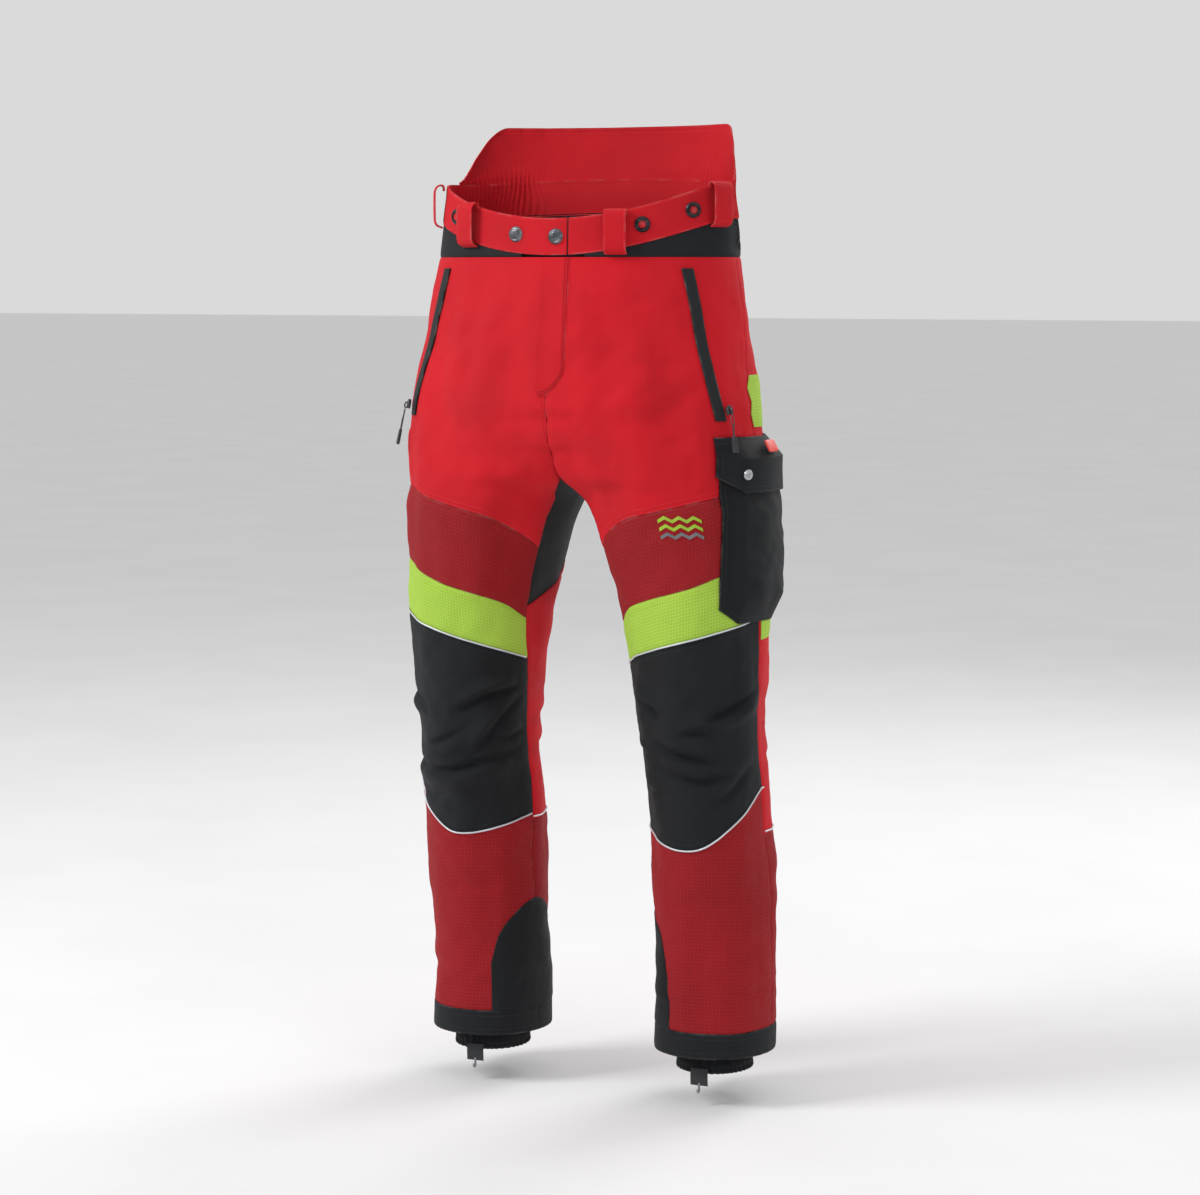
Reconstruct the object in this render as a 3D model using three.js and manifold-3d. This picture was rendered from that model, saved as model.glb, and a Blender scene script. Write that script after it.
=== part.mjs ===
// Chainsaw protection trousers: high-backed work trousers with cut pads in both legs.
//
// Lengths are millimetres, +Z is up, the wearer faces -Y and the wearer's left is +X.
// The origin is the centre of the waist, level with the waistband's top edge at the centre front.
// Inside this file heights are measured up from the hem, and one nested group moves them to that origin.
//
// Every cloth panel lies on one body surface. A place on it is a side (LEFT or RIGHT leg), an angle
// round the leg (0 at the front, 90 at the outer side, 180 at the back, -90 at the inner side) and a
// height. Layers are offsets from that surface: outer cloth, then cut pad, then lining.

import * as THREE from "three";
import { mergeVertices } from "three/addons/utils/BufferGeometryUtils.js";
import Module from "manifold-3d";

const wasm = await Module();
wasm.setup();

// ---------------------------------------------------------------- driving dimensions

const WAIST_TOP = 1058;
const WAIST_SEAM = 1010;
const BAND_LOW = 1012;
const BAND_TALL = 46;
const BAND_RISE = 45;
const BAND_BACK_RISE = 8;
const BAND_END = 6;
const CROTCH = 716;
const GUSSET_APEX = 794;
const GUSSET_TIP = 567;
const YOKE_TOP = 1178;
const SHANK_TOP = 283;
const HEM_BAND = 33;
const SEAM_GAP = 0.8;
const CLOTH = 1.6;

// Layers, as [inner, outer] offsets from the body surface.
const SKIN = [-CLOTH, 0];
const PATCH = [0.5, 1.9];
const BAND = [-1.5, 1.5];
const PAD = [-8.8, -3.6];
const LINING = [-13, -11.5];
const FLY_TAPE = [-8.6, -7.4];
const PLACKET = [1, 2.6];
const WELT = [1.2, 3.2];

// Body sections: height above the hem, how far the leg's centre is from the middle of the body,
// half width, half depth in front, half depth behind, and where the centre lies front to back.
const SECTIONS = [
  [-60, 159, 77, 80, 84, 38],
  [0, 159, 77.5, 80, 84, 38],
  [125, 159, 74, 79, 84, 36],
  [229, 160, 77, 81, 90, 30],
  [307, 159, 76, 84, 90, 18],
  [385, 158, 77, 89, 88, 4],
  [437, 156, 80, 91, 89, -2],
  [502, 154, 86, 94, 94, -4],
  [567, 149, 93, 99, 102, -6],
  [632, 140, 100, 105, 112, -8],
  [697, 127, 112, 110, 122, -12],
  [716, 118, 118, 111, 126, -13],
  [740, 99, 138, 112, 130, -15],
  [770, 76, 163, 113, 134, -18],
  [800, 54, 181, 114, 137, -20],
  [830, 36, 196, 115, 138, -22],
  [860, 21, 206, 115, 137, -20.5],
  [900, 8, 211, 115, 132, -15.5],
  [950, 1, 212, 113, 123, -10.5],
  [1010, 0, 202, 110, 114, -5],
  [1060, 0, 197, 107, 109, -4],
  [1100, 0, 192, 105, 109, -3],
  [1200, 0, 203, 108, 125, 2],
];

const RED = { color: 0xd8121f, roughness: 0.75, metalness: 0 };
const RIPSTOP_RED = { color: 0xa5161c, roughness: 0.8, metalness: 0 };
const HIVIS = { color: 0xb4d84a, roughness: 0.7, metalness: 0 };
const BLACK = { color: 0x1d1f21, roughness: 0.8, metalness: 0 };
const LINER = { color: 0x2b2c2f, roughness: 0.9, metalness: 0 };
const PAD_WHITE = { color: 0xd9d6c8, roughness: 0.95, metalness: 0 };
const METAL = { color: 0x6d7073, roughness: 0.35, metalness: 0.9 };
const TAG_RED = { color: 0xe0392f, roughness: 0.5, metalness: 0 };

const LEFT = 1;
const RIGHT = -1;
const SIDES = [
  ["left", LEFT],
  ["right", RIGHT],
];

const garment = new THREE.Group();
garment.position.z = -WAIST_TOP;
const trousers = new THREE.Group();
trousers.add(garment);

// ---------------------------------------------------------------- curves and the body surface

const radians = THREE.MathUtils.degToRad;
const degrees = THREE.MathUtils.radToDeg;
const mix = THREE.MathUtils.lerp;
const clamp = THREE.MathUtils.clamp;

// Column c of a table of rows sorted by their first number, on a smooth curve through the rows.
function along(table, x, c) {
  const last = table.length - 2;
  let i = table.findIndex((row, k) => k > 0 && x < row[0]) - 1;
  if (i < 0) i = x < table[0][0] ? 0 : last;
  const [p, q] = [table[i], table[i + 1]];
  const slope = (k) => {
    const [before, after] = [table[Math.max(k - 1, 0)], table[Math.min(k + 1, last + 1)]];
    return (after[c] - before[c]) / (after[0] - before[0]);
  };
  const step = q[0] - p[0];
  const t = clamp((x - p[0]) / step, 0, 1);
  const [t2, t3] = [t * t, t * t * t];
  return (
    (2 * t3 - 3 * t2 + 1) * p[c] +
    (t3 - 2 * t2 + t) * step * slope(i) +
    (3 * t2 - 2 * t3) * q[c] +
    (t3 - t2) * step * slope(i + 1)
  );
}

// The body's section at a height: the leg's centre, its half width and its half depths.
function section(height) {
  const [centre, wide, front, back, shift] = [1, 2, 3, 4, 5].map((c) => along(SECTIONS, height, c));
  return { centre, wide, front, back, shift };
}

// A point of the body surface, moved out by offset along the section's normal. Nothing on a side
// comes nearer to the middle of the body than reach, except the gusset, which crosses it.
function point(side, angle, height, offset = 0, reach = SEAM_GAP / 2) {
  const s = section(height);
  const [sine, cosine] = [Math.sin(radians(angle)), Math.cos(radians(angle))];
  const deep = cosine > 0 ? s.front : s.back;
  const normal = new THREE.Vector2(sine / s.wide, -cosine / deep).normalize();
  return new THREE.Vector3(
    side * Math.max(s.centre + s.wide * sine + offset * normal.x, reach),
    s.shift - deep * cosine + offset * normal.y,
    height,
  );
}

// How far past the front of the leg the middle of the body lies. Below the crotch the leg is closed.
function middleAngle(height, gap) {
  const s = section(height);
  return degrees(Math.asin(clamp((s.centre - gap) / s.wide, 0, 0.99999)));
}
const centreFront = (height) => -middleAngle(height, SEAM_GAP);
const centreBack = (height) => 180 + middleAngle(height, SEAM_GAP);

// The seam lines down the leg, as angles.
const curveOf = (table) => (x) => along(table, x, 1);
const outerSeam = curveOf([[0, 93], [283, 90], [385, 85], [560, 82], [716, 84], [1010, 88]]);
const innerSeam = curveOf([[0, -76], [200, -76], [400, -80], [567, -66], [716, -64]]);

// The seams across the leg, as heights at an angle.
const thighSeam = curveOf([[-66, 641], [-48, 662], [-20, 686], [10, 700], [49, 716], [84, 726]]);
const hivisTop = curveOf([[-66, 552], [-45, 572], [-20, 586], [20, 604], [50, 622], [84, 634]]);
const hivisLow = curveOf([[-70, 500], [-42, 514], [0, 533], [45, 552], [84, 566]]);
const kneeLow = curveOf([[-78, 292], [-45, 280], [-10, 270], [15, 274], [48, 304], [85, 346]]);
const anklePatchTop = curveOf([
  [-127, 95], [-118, 131], [-102, 159], [-76, 178], [-50, 159], [-34, 131], [-26, 95],
]);

// The front panel ends at the inner seam, then follows the gusset up to the centre front.
function frontInner(height) {
  const t = clamp((height - CROTCH + 10) / (GUSSET_APEX - CROTCH + 10), 0, 1);
  return mix(innerSeam(Math.min(height, CROTCH)), centreFront(Math.max(height, GUSSET_APEX)), t);
}

// The back panel's inner edge: the gusset's back edge below, the centre back seam above.
const gussetBack = curveOf([[GUSSET_TIP, -66], [608, -114], [660, -138], [730, -150], [GUSSET_APEX, -162]]);
function backInner(height) {
  if (height >= GUSSET_APEX) return centreBack(height);
  if (height <= GUSSET_TIP) return 360 + innerSeam(height);
  return Math.min(360 + gussetBack(height), centreBack(height));
}

// The waistband's lower edge falls to the centre front and stands highest behind.
function bandLow(angle) {
  const sine = Math.sin(radians(angle));
  const behind = Math.cos(radians(angle)) < 0 ? 1 - sine * sine : 0;
  return BAND_LOW + BAND_RISE * (behind ? 1 : sine * sine) + BAND_BACK_RISE * behind;
}
const bandTop = (angle) => bandLow(angle) + BAND_TALL;

// The kidney yoke climbs from the side seam to its level top edge.
function yokeTop(angle) {
  const t = clamp((Math.min(angle, 360 - angle) - 97) / 34, 0, 1);
  return mix(bandTop(angle) + 3, YOKE_TOP, t * t * (3 - 2 * t));
}

// ---------------------------------------------------------------- solids

// A closed sheet. place(u, v, face) gives the outer face's points for face 0 and the inner's for 1.
// A closed ring (wrap) joins its last column to its first. A mirrored sheet has its faces turned.
function sheetGeometry(columns, rows, wrap, mirrored, place) {
  const across = wrap ? columns : columns + 1;
  const positions = [];
  for (let face = 0; face < 2; face++)
    for (let j = 0; j <= rows; j++)
      for (let i = 0; i < across; i++) positions.push(...place(i / columns, j / rows, face));
  const at = (i, j, face) => face * across * (rows + 1) + j * across + (i % across);
  const triangles = [];
  const quad = (a, b, c, d) => triangles.push(...(mirrored ? [a, c, b, a, d, c] : [a, b, c, a, c, d]));
  for (let j = 0; j < rows; j++)
    for (let i = 0; i < columns; i++) {
      quad(at(i, j, 0), at(i + 1, j, 0), at(i + 1, j + 1, 0), at(i, j + 1, 0));
      quad(at(i, j, 1), at(i, j + 1, 1), at(i + 1, j + 1, 1), at(i + 1, j, 1));
    }
  for (let i = 0; i < columns; i++) {
    quad(at(i, 0, 1), at(i + 1, 0, 1), at(i + 1, 0, 0), at(i, 0, 0));
    quad(at(i, rows, 0), at(i + 1, rows, 0), at(i + 1, rows, 1), at(i, rows, 1));
  }
  if (!wrap)
    for (let j = 0; j < rows; j++) {
      quad(at(0, j, 0), at(0, j + 1, 0), at(0, j + 1, 1), at(0, j, 1));
      quad(at(columns, j, 0), at(columns, j, 1), at(columns, j + 1, 1), at(columns, j + 1, 0));
    }
  return new THREE.BufferGeometry()
    .setAttribute("position", new THREE.Float32BufferAttribute(positions, 3))
    .setIndex(triangles);
}

function addMesh(name, geometry, finish, parent = garment) {
  const mesh = new THREE.Mesh(geometry, new THREE.MeshStandardMaterial(finish));
  mesh.name = name;
  parent.add(mesh);
  return mesh;
}

// A panel between two side edges (angles at a height) and two cross edges (heights at an angle).
// Both kinds of edge are kept SEAM_GAP / 2 clear of the neighbour that shares them.
function panelGeometry(side, { inner, outer, low, high, layer, columns = 9, rows = 6 }) {
  return sheetGeometry(columns, rows, false, side === RIGHT, (u, v, face) => {
    let [angle, height] = [0, 0];
    for (let pass = 0; pass < 8; pass++) {
      height = mix(low(angle) + SEAM_GAP / 2, high(angle) - SEAM_GAP / 2, v);
      const slack = degrees(SEAM_GAP / 2 / section(height).wide);
      angle = mix(inner(height) + slack, outer(height) - slack, u);
    }
    return point(side, angle, height, layer[1 - face]);
  });
}

function addPanels(name, finish, shape) {
  for (const [word, side] of SIDES) addMesh(`${name}_${word}`, panelGeometry(side, shape), finish);
}

// A ring round one leg, for a hem band or a cuff, with its own layer at each height.
function addRings(name, finish, low, high, rows, columns, layerAt) {
  for (const [word, side] of SIDES)
    addMesh(
      `${name}_${word}`,
      sheetGeometry(columns, rows, true, side === RIGHT, (u, v, face) =>
        point(side, 360 * u, mix(low, high, v), layerAt(v)[1 - face]),
      ),
      finish,
    );
}

// A band round the whole waist, from angle start to angle end.
function addBand(name, finish, { start, end, low, high, layer, columns, rows }) {
  const geometry = sheetGeometry(columns, rows, false, false, (u, v, face) => {
    const angle = mix(start, end, u);
    const height = mix(low(angle) + SEAM_GAP / 2, high(angle) - SEAM_GAP / 2, v);
    return point(LEFT, angle, height, layer[1 - face], -Infinity);
  });
  addMesh(name, geometry, finish);
}

function solidOf(geometry) {
  const bare = geometry.clone();
  for (const name of ["normal", "uv"]) bare.deleteAttribute(name);
  const merged = mergeVertices(bare, 1e-3);
  return new wasm.Manifold(
    new wasm.Mesh({
      numProp: 3,
      vertProperties: merged.attributes.position.array,
      triVerts: new Uint32Array(merged.index.array),
    }),
  );
}

function geometryOf(solid) {
  const mesh = solid.getMesh();
  return new THREE.BufferGeometry()
    .setAttribute("position", new THREE.BufferAttribute(mesh.vertProperties, 3))
    .setIndex(new THREE.BufferAttribute(mesh.triVerts, 1));
}

const joined = (...pieces) => geometryOf(pieces.map(solidOf).reduce((a, b) => a.add(b)));

// An outline of [x, y] points, extruded from z = low to z = low + thick.
function plate(outline, low, thick) {
  const shape = new THREE.Shape(outline.map(([x, y]) => new THREE.Vector2(x, y)));
  return new THREE.ExtrudeGeometry(shape, { depth: thick, bevelEnabled: false }).translate(0, 0, low);
}

// An empty group of the garment, placed and turned by a matrix.
function groupAt(basis) {
  const group = new THREE.Group();
  basis.decompose(group.position, group.quaternion, group.scale);
  garment.add(group);
  return group;
}

// A seat for hardware at a place on the body: x runs round the body, y up it and z straight out.
function seat(side, angle, height, offset) {
  const origin = point(side, angle, height, offset, -Infinity);
  const out = point(side, angle, height, offset + 1, -Infinity).sub(origin);
  const up = new THREE.Vector3(0, 0, 1);
  const round = new THREE.Vector3().crossVectors(up, out);
  return groupAt(new THREE.Matrix4().makeBasis(round, up, out).setPosition(origin));
}

// A place on a straight rail, for a slider: x runs across the rail, y along it and z outwards.
function onRail(low, high, out, rest = low) {
  const run = new THREE.Vector3().subVectors(high, low).normalize();
  const across = new THREE.Vector3().crossVectors(run, out).normalize();
  const basis = new THREE.Matrix4().makeBasis(across, run, new THREE.Vector3().crossVectors(across, run));
  return groupAt(basis.setPosition(rest));
}

// ---------------------------------------------------------------- outer cloth

const flat = (height) => () => height;

function outerPanels() {
  const between = { inner: innerSeam, outer: outerSeam, layer: SKIN };
  addPanels("front_panel", RED, {
    ...between, inner: frontInner, low: thighSeam, high: flat(WAIST_SEAM), rows: 10,
  });
  addPanels("thigh_panel", RIPSTOP_RED, { ...between, low: hivisTop, high: thighSeam, rows: 3 });
  addPanels("hivis_band", HIVIS, { ...between, low: hivisLow, high: hivisTop, rows: 2 });
  addPanels("knee_panel", BLACK, { ...between, low: kneeLow, high: hivisLow, rows: 6 });
  addPanels("shin_panel", RIPSTOP_RED, { ...between, low: flat(HEM_BAND), high: kneeLow, rows: 5 });

  const behind = { inner: outerSeam, outer: backInner, layer: SKIN };
  const backHeight = 600;
  addPanels("seat_panel", RED, { ...behind, low: flat(backHeight), high: flat(WAIST_SEAM), rows: 9 });
  addPanels("back_leg_panel", RED, { ...behind, low: flat(SHANK_TOP), high: flat(backHeight), rows: 7 });
  addPanels("calf_panel", RIPSTOP_RED, { ...behind, low: flat(HEM_BAND), high: flat(SHANK_TOP), rows: 4 });
  addRings("hem_band", BLACK, 0, HEM_BAND - SEAM_GAP, 1, 26, () => SKIN);
  addPanels("ankle_patch", BLACK, {
    inner: flat(-127), outer: flat(-26), low: flat(HEM_BAND + 1), high: anklePatchTop,
    layer: PATCH, columns: 12, rows: 2,
  });
}

// The height at which the body surface at an angle reaches the middle of the body.
function seamHeight(angle) {
  let [low, high] = [CROTCH - 20, WAIST_SEAM];
  for (let pass = 0; pass < 40; pass++) {
    const height = (low + high) / 2;
    const s = section(height);
    if (s.centre + s.wide * Math.sin(radians(angle)) > 0) low = height;
    else high = height;
  }
  return low;
}

// The crotch gusset is one sheet. It runs from front to back between the legs, and from a tip down
// one inner leg, across the middle of the body, to a tip down the other.
function crotchGusset() {
  const [clearFront, clearBack, top, nearest] = [4.8, 5, 24, 1];
  const apexFront = centreFront(GUSSET_APEX) - 3;
  const apexBack = centreBack(GUSSET_APEX) - 357;
  const [low, high] = [GUSSET_TIP + 14, GUSSET_APEX - top];
  const edge = (u) => {
    const height = u < 0.5 ? mix(high, low, 2 * u) : mix(low, high, 2 * u - 1);
    const { wide } = section(height);
    if (u < 0.5) return [frontInner(height) - degrees(clearFront / wide), height];
    return [backInner(height) - 360 + degrees(clearBack / wide), height];
  };
  const sheet = sheetGeometry(18, 8, false, true, (u, v, face) => {
    const side = v > 0.5 ? RIGHT : LEFT;
    const t = Math.abs(2 * v - 1);
    const middle = mix(apexFront, apexBack, u);
    const [angle, height] = edge(u);
    const place = [mix(middle, angle, t), mix(seamHeight(middle), height, t)];
    const p = point(side, ...place, SKIN[1 - face], nearest * t);
    return t ? p : p.setX(0);
  });
  addMesh("crotch_gusset", sheet, BLACK);
}

// ---------------------------------------------------------------- waist

function waist() {
  const insertStart = 13;
  addBand("stretch_insert", BLACK, {
    start: insertStart, end: 360 - insertStart, low: flat(WAIST_SEAM), high: bandLow,
    layer: SKIN, columns: 30, rows: 1,
  });
  addBand("waistband", RED, {
    start: BAND_END + 0.3, end: BAND_END + 359.7, low: bandLow, high: bandTop,
    layer: BAND, columns: 40, rows: 1,
  });
  addBand("kidney_yoke", RED, {
    start: 98, end: 262, low: bandTop, high: yokeTop, layer: BAND, columns: 20, rows: 4,
  });
}

// Belt loops, as a side and an angle. The closure's overlap sets the two front ones unevenly.
const LOOPS = {
  belt_loop_front_left: [LEFT, 24],
  belt_loop_front_right: [RIGHT, 38],
  belt_loop_side_left: [LEFT, 73],
  belt_loop_side_right: [RIGHT, 73],
};
const LOOP_WIDE = 28;
const LOOP_GAP = 7;
const LOOP_STRAP = 2;

// A belt loop: a strap that stands off the band, seen from its side, then drawn out to its width.
function beltLoopGeometry(tall) {
  const [foot, reach] = [0.9, 0.9 + LOOP_GAP];
  const bend = 4;
  const profile = [
    [foot, 0], [foot + LOOP_STRAP, 0], [reach + LOOP_STRAP, bend], [reach + LOOP_STRAP, tall - bend],
    [foot + LOOP_STRAP, tall], [foot, tall], [foot, tall - LOOP_STRAP], [foot + 1, tall - LOOP_STRAP],
    [reach, tall - bend - 1.4], [reach, bend + 1.4], [foot + 1, LOOP_STRAP], [foot, LOOP_STRAP],
  ];
  return plate(profile, -LOOP_WIDE / 2, LOOP_WIDE).rotateY(-Math.PI / 2);
}

function beltLoops() {
  const tall = BAND_TALL + 9;
  for (const [name, [side, angle]] of Object.entries(LOOPS))
    addMesh(name, beltLoopGeometry(tall), RED, seat(side, angle, bandLow(angle) - 6, BAND[1]));
}

// Press studs, turned about their own axis, as rows of [radius, height]: a flat-topped dome that
// closes the waistband, and a ring with a round socket for the stud of a pair of braces.
const DOME_STUD = [[0, 0], [9, 0], [9.5, 1], [8.2, 2.6], [5.5, 3.4], [0, 3.4]];
const SOCKET = { radius: 5, floor: 1.2, rim: 3.2 };
const RING_STUD = [
  [0, 0], [9, 0], [9.5, 1], [8.6, 2.6], [SOCKET.radius + 0.6, SOCKET.rim],
  [SOCKET.radius, SOCKET.rim], [SOCKET.radius, SOCKET.floor], [0, SOCKET.floor],
];
const STUDS = {
  waist_stud_centre: [RIGHT, -1.5, DOME_STUD],
  waist_stud_side: [RIGHT, 14.6, DOME_STUD],
  brace_stud_front: [LEFT, 34.5, RING_STUD],
  brace_stud_side: [LEFT, 57.6, RING_STUD],
  brace_stud_right: [RIGHT, 49, RING_STUD],
};

function studs() {
  const sitOut = 1.2;
  for (const [name, [side, angle, profile]] of Object.entries(STUDS)) {
    const round = profile === RING_STUD ? 40 : 20;
    const turned = new THREE.LatheGeometry(profile.map(([r, z]) => new THREE.Vector2(r, z)), round);
    const place = seat(side, angle, bandLow(angle) + BAND_TALL / 2, BAND[1] + sitOut);
    addMesh(name, turned.rotateX(Math.PI / 2), METAL, place);
  }
}

// ---------------------------------------------------------------- fly

const FLY = { low: 838, wide: 34, overlap: 9, bend: 30 };
const FLY_ZIP = { low: 850, high: 1003, wide: 24 };
const FLY_SLIDER = { wide: 8, tall: 12, thick: 2.4, stop: 2, offset: -3.3 };

// The point of the centre front, x to the wearer's left, at a height.
function frontPoint(x, height, offset) {
  const s = section(height);
  const p = point(LEFT, degrees(Math.asin((Math.abs(x) - s.centre) / s.wide)), height, offset, -Infinity);
  return p.setX(x);
}

function fly() {
  const placket = sheetGeometry(6, 6, false, false, (u, v, face) => {
    const height = mix(FLY.low + FLY.bend * u * u, WAIST_SEAM - 1, v);
    return frontPoint(mix(-FLY.overlap, FLY.wide - FLY.overlap, u), height, PLACKET[1 - face]);
  });
  addMesh("fly_placket", placket, RED);

  const tape = sheetGeometry(4, 6, false, false, (u, v, face) =>
    frontPoint(mix(-0.5, 0.5, u) * FLY_ZIP.wide, mix(FLY_ZIP.low, FLY_ZIP.high, v), FLY_TAPE[1 - face]),
  );
  addMesh("fly_zip", tape, BLACK);

  const { wide, tall, thick, stop, offset } = FLY_SLIDER;
  const shield = [[-0.5, 0], [0.5, 0], [0.5, 0.6], [0.25, 1], [-0.25, 1], [-0.5, 0.6]];
  const slider = plate(shield.map(([x, y]) => [x * wide, y * tall]), -thick / 2, thick);
  const low = frontPoint(0, FLY_ZIP.low + stop, offset);
  const top = frontPoint(0, FLY_ZIP.high - tall - stop, offset);
  addMesh("fly_slider", slider, METAL, onRail(low, top, new THREE.Vector3(0, -1, 0), top));
}

// ---------------------------------------------------------------- hand pockets

const ZIP_TOP = [57, 990];
const ZIP_LOW = [65, 818];
const WELT_WIDE = 16;
const SLIDER = { wide: 9, tall: 12, thick: 4, offset: 5.8 };
const PULL = { link: 12, cord: 14, long: 46, lean: 0.22 };

// The straight line that a pocket's zip slider runs along, from its low end to its high end.
function zipLine(side, offset) {
  return [point(side, ...ZIP_LOW, offset), point(side, ...ZIP_TOP, offset)];
}

function handPockets() {
  const weltAt = (v) => [mix(ZIP_LOW[0], ZIP_TOP[0], v), mix(ZIP_LOW[1] - 8, ZIP_TOP[1] + 6, v)];
  for (const [word, side] of SIDES) {
    const welt = sheetGeometry(2, 8, false, side === RIGHT, (u, v, face) => {
      const [angle, height] = weltAt(v);
      const wide = degrees(WELT_WIDE / section(height).wide) * 1.25;
      return point(side, angle - 1.2 - wide * (1 - u), height, WELT[1 - face]);
    });
    addMesh(`pocket_welt_${word}`, welt, BLACK);

    const [low, high] = zipLine(side, SLIDER.offset);
    const out = point(side, ...ZIP_LOW, SLIDER.offset + 1).sub(low);
    const rail = onRail(low, high, out);
    const { wide, tall, thick } = SLIDER;
    const [edge, shoulder] = [wide / 2, tall * 0.7];
    const body = plate([[-edge, 0], [edge, 0], [edge, shoulder], [0, tall], [-edge, shoulder]], 0, thick);
    const bail = plate([[-1.5, 0], [1.5, 0], [1.5, 8], [-1.5, 8]], thick - 0.5, 3.5);
    addMesh(`zip_slider_${word}`, joined(body, bail), METAL, rail);

    rail.updateMatrix();
    const hinge = new THREE.Vector3(0, -2.2, thick + 1.5).applyMatrix4(rail.matrix);
    const up = new THREE.Vector3(-out.x * PULL.lean, -out.y * PULL.lean, 1).normalize();
    const across = new THREE.Vector3().crossVectors(up, out).setZ(0).normalize();
    const face = new THREE.Vector3().crossVectors(across, up);
    const hang = groupAt(new THREE.Matrix4().makeBasis(across, up, face).setPosition(hinge));
    addMesh(`zip_pull_${word}`, pullGeometry(), BLACK, hang);
  }
}

// A zip pull hanging from its top: a metal link, a short cord and a moulded grip, in one outline.
function pullGeometry() {
  const { link, cord, long } = PULL;
  const top = -link - cord;
  const outline = [
    [-4.5, -long + 1.5], [-3, -long], [3, -long], [4.5, -long + 1.5], [2.6, top],
    [1.1, top + 2], [1.1, -link], [2.2, -link + 1], [2.2, 0], [-2.2, 0], [-2.2, -link + 1],
    [-1.1, -link], [-1.1, top + 2], [-2.6, top],
  ];
  return plate(outline, -1.3, 2.6);
}

// ---------------------------------------------------------------- cargo pocket, on the left thigh

const CARGO = {
  front: -82, back: 82, low: 560, mouth: 760, hinge: 764, flapTop: 790, flapLow: 722, depth: 15,
};

// The angle at which the left leg's outer surface reaches a front-to-back place y, at a height.
function angleAtY(height, y) {
  const s = section(height);
  const deep = y < s.shift ? s.front : s.back;
  return degrees(Math.acos(clamp((s.shift - y) / deep, -1, 1)));
}

function cargoPocket() {
  const edge = (x, width) => THREE.MathUtils.smoothstep(Math.min(x, 1 - x), 0, width);
  const bag = sheetGeometry(12, 8, false, false, (u, v, face) => {
    const chamfer = 18 * Math.max(0, 1 - 8 * Math.min(u, 1 - u));
    const height = mix(CARGO.low + chamfer, CARGO.mouth, v);
    const puff = edge(u, 0.14) * Math.min(1, 6 * v);
    const offset = 2.2 + CARGO.depth * puff - (face ? CLOTH : 0);
    return point(LEFT, angleAtY(height, mix(CARGO.front, CARGO.back, u)), height, offset);
  });
  addMesh("cargo_pocket", bag, BLACK);

  // The fixed top of the flap slopes out over the pocket's mouth, and the flap hangs from it.
  const flapPuff = (u) => 5.4 + CARGO.depth * edge(u, 0.16);
  const flapAt = (u, height, offset) =>
    point(LEFT, angleAtY(height, mix(CARGO.front - 4, CARGO.back + 4, u)), height, offset);
  const base = sheetGeometry(12, 3, false, false, (u, v, face) => {
    const height = mix(CARGO.hinge + 0.8, CARGO.flapTop, v);
    return flapAt(u, height, mix(flapPuff(u), 2.6, v) - (face ? CLOTH : 0));
  });
  addMesh("cargo_flap_base", base, BLACK);

  const flap = sheetGeometry(12, 4, false, false, (u, v, face) => {
    const corner = 20 * Math.max(0, 1 - 7 * Math.min(u, 1 - u));
    return flapAt(u, mix(CARGO.flapLow + corner, CARGO.hinge, v), flapPuff(u) - (face ? CLOTH : 0));
  });
  addMesh("cargo_flap", flap, BLACK);

  const tag = [[-13, -8], [11, -8], [13, -6], [13, 6], [11, 8], [-13, 8]];
  const place = seat(LEFT, 88, 778, 16.5);
  place.rotateX(-0.5);
  addMesh("side_tag", plate(tag, 0, 2.6), TAG_RED, place);
}

// ---------------------------------------------------------------- inside: pads, lining and gaiters

// The inside layers end either side of the knee, where the leg bends.
const [BEND_TOP, BEND_LOW] = [522, 276];

function pads() {
  const between = { inner: (h) => innerSeam(h) + 9, outer: (h) => outerSeam(h) - 4, layer: PAD };
  addPanels("thigh_pad", PAD_WHITE, { ...between, low: flat(BEND_TOP), high: flat(CROTCH - 30), rows: 5 });
  addPanels("knee_pad", PAD_WHITE, { ...between, low: flat(BEND_LOW), high: flat(BEND_TOP), rows: 5 });
  addPanels("shin_pad", PAD_WHITE, { ...between, low: flat(30), high: flat(BEND_LOW), rows: 4 });
}

function lining() {
  const liningTop = (angle) => bandLow(angle) - 1;
  const whole = { inner: centreFront, outer: centreBack, layer: LINING, columns: 18 };
  addPanels("upper_lining", LINER, { ...whole, low: flat(BEND_TOP), high: liningTop, rows: 10 });
  addPanels("shank_lining", LINER, { ...whole, low: flat(2), high: flat(BEND_LOW), rows: 4 });
}

const GAITER = { low: -26, high: 130, top: -14.2, bottom: -29, cloth: 1.4 };

function gaiters() {
  const layerAt = (v) => {
    const outer = mix(GAITER.bottom, GAITER.top, THREE.MathUtils.smoothstep(v, 0.15, 0.9));
    return [outer - GAITER.cloth, outer];
  };
  addRings("gaiter", BLACK, GAITER.low, GAITER.high, 6, 20, layerAt);

  // The lace tab: a webbing strap with a hook that holds the gaiter down on the boot's laces.
  const tab = [[-12, 0], [-12, -22], [-6, -22], [-6, -30], [6, -30], [6, -22], [12, -22], [12, 0]];
  for (const [word, side] of SIDES) {
    const place = seat(side, 0, GAITER.low + 7, GAITER.bottom + 0.9);
    addMesh(`lace_tab_${word}`, plate(tab, 0, 2.2), BLACK, place);
  }
}

outerPanels();
crotchGusset();
waist();
beltLoops();
studs();
fly();
handPockets();
cargoPocket();
pads();
lining();
gaiters();

export default trousers;
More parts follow.
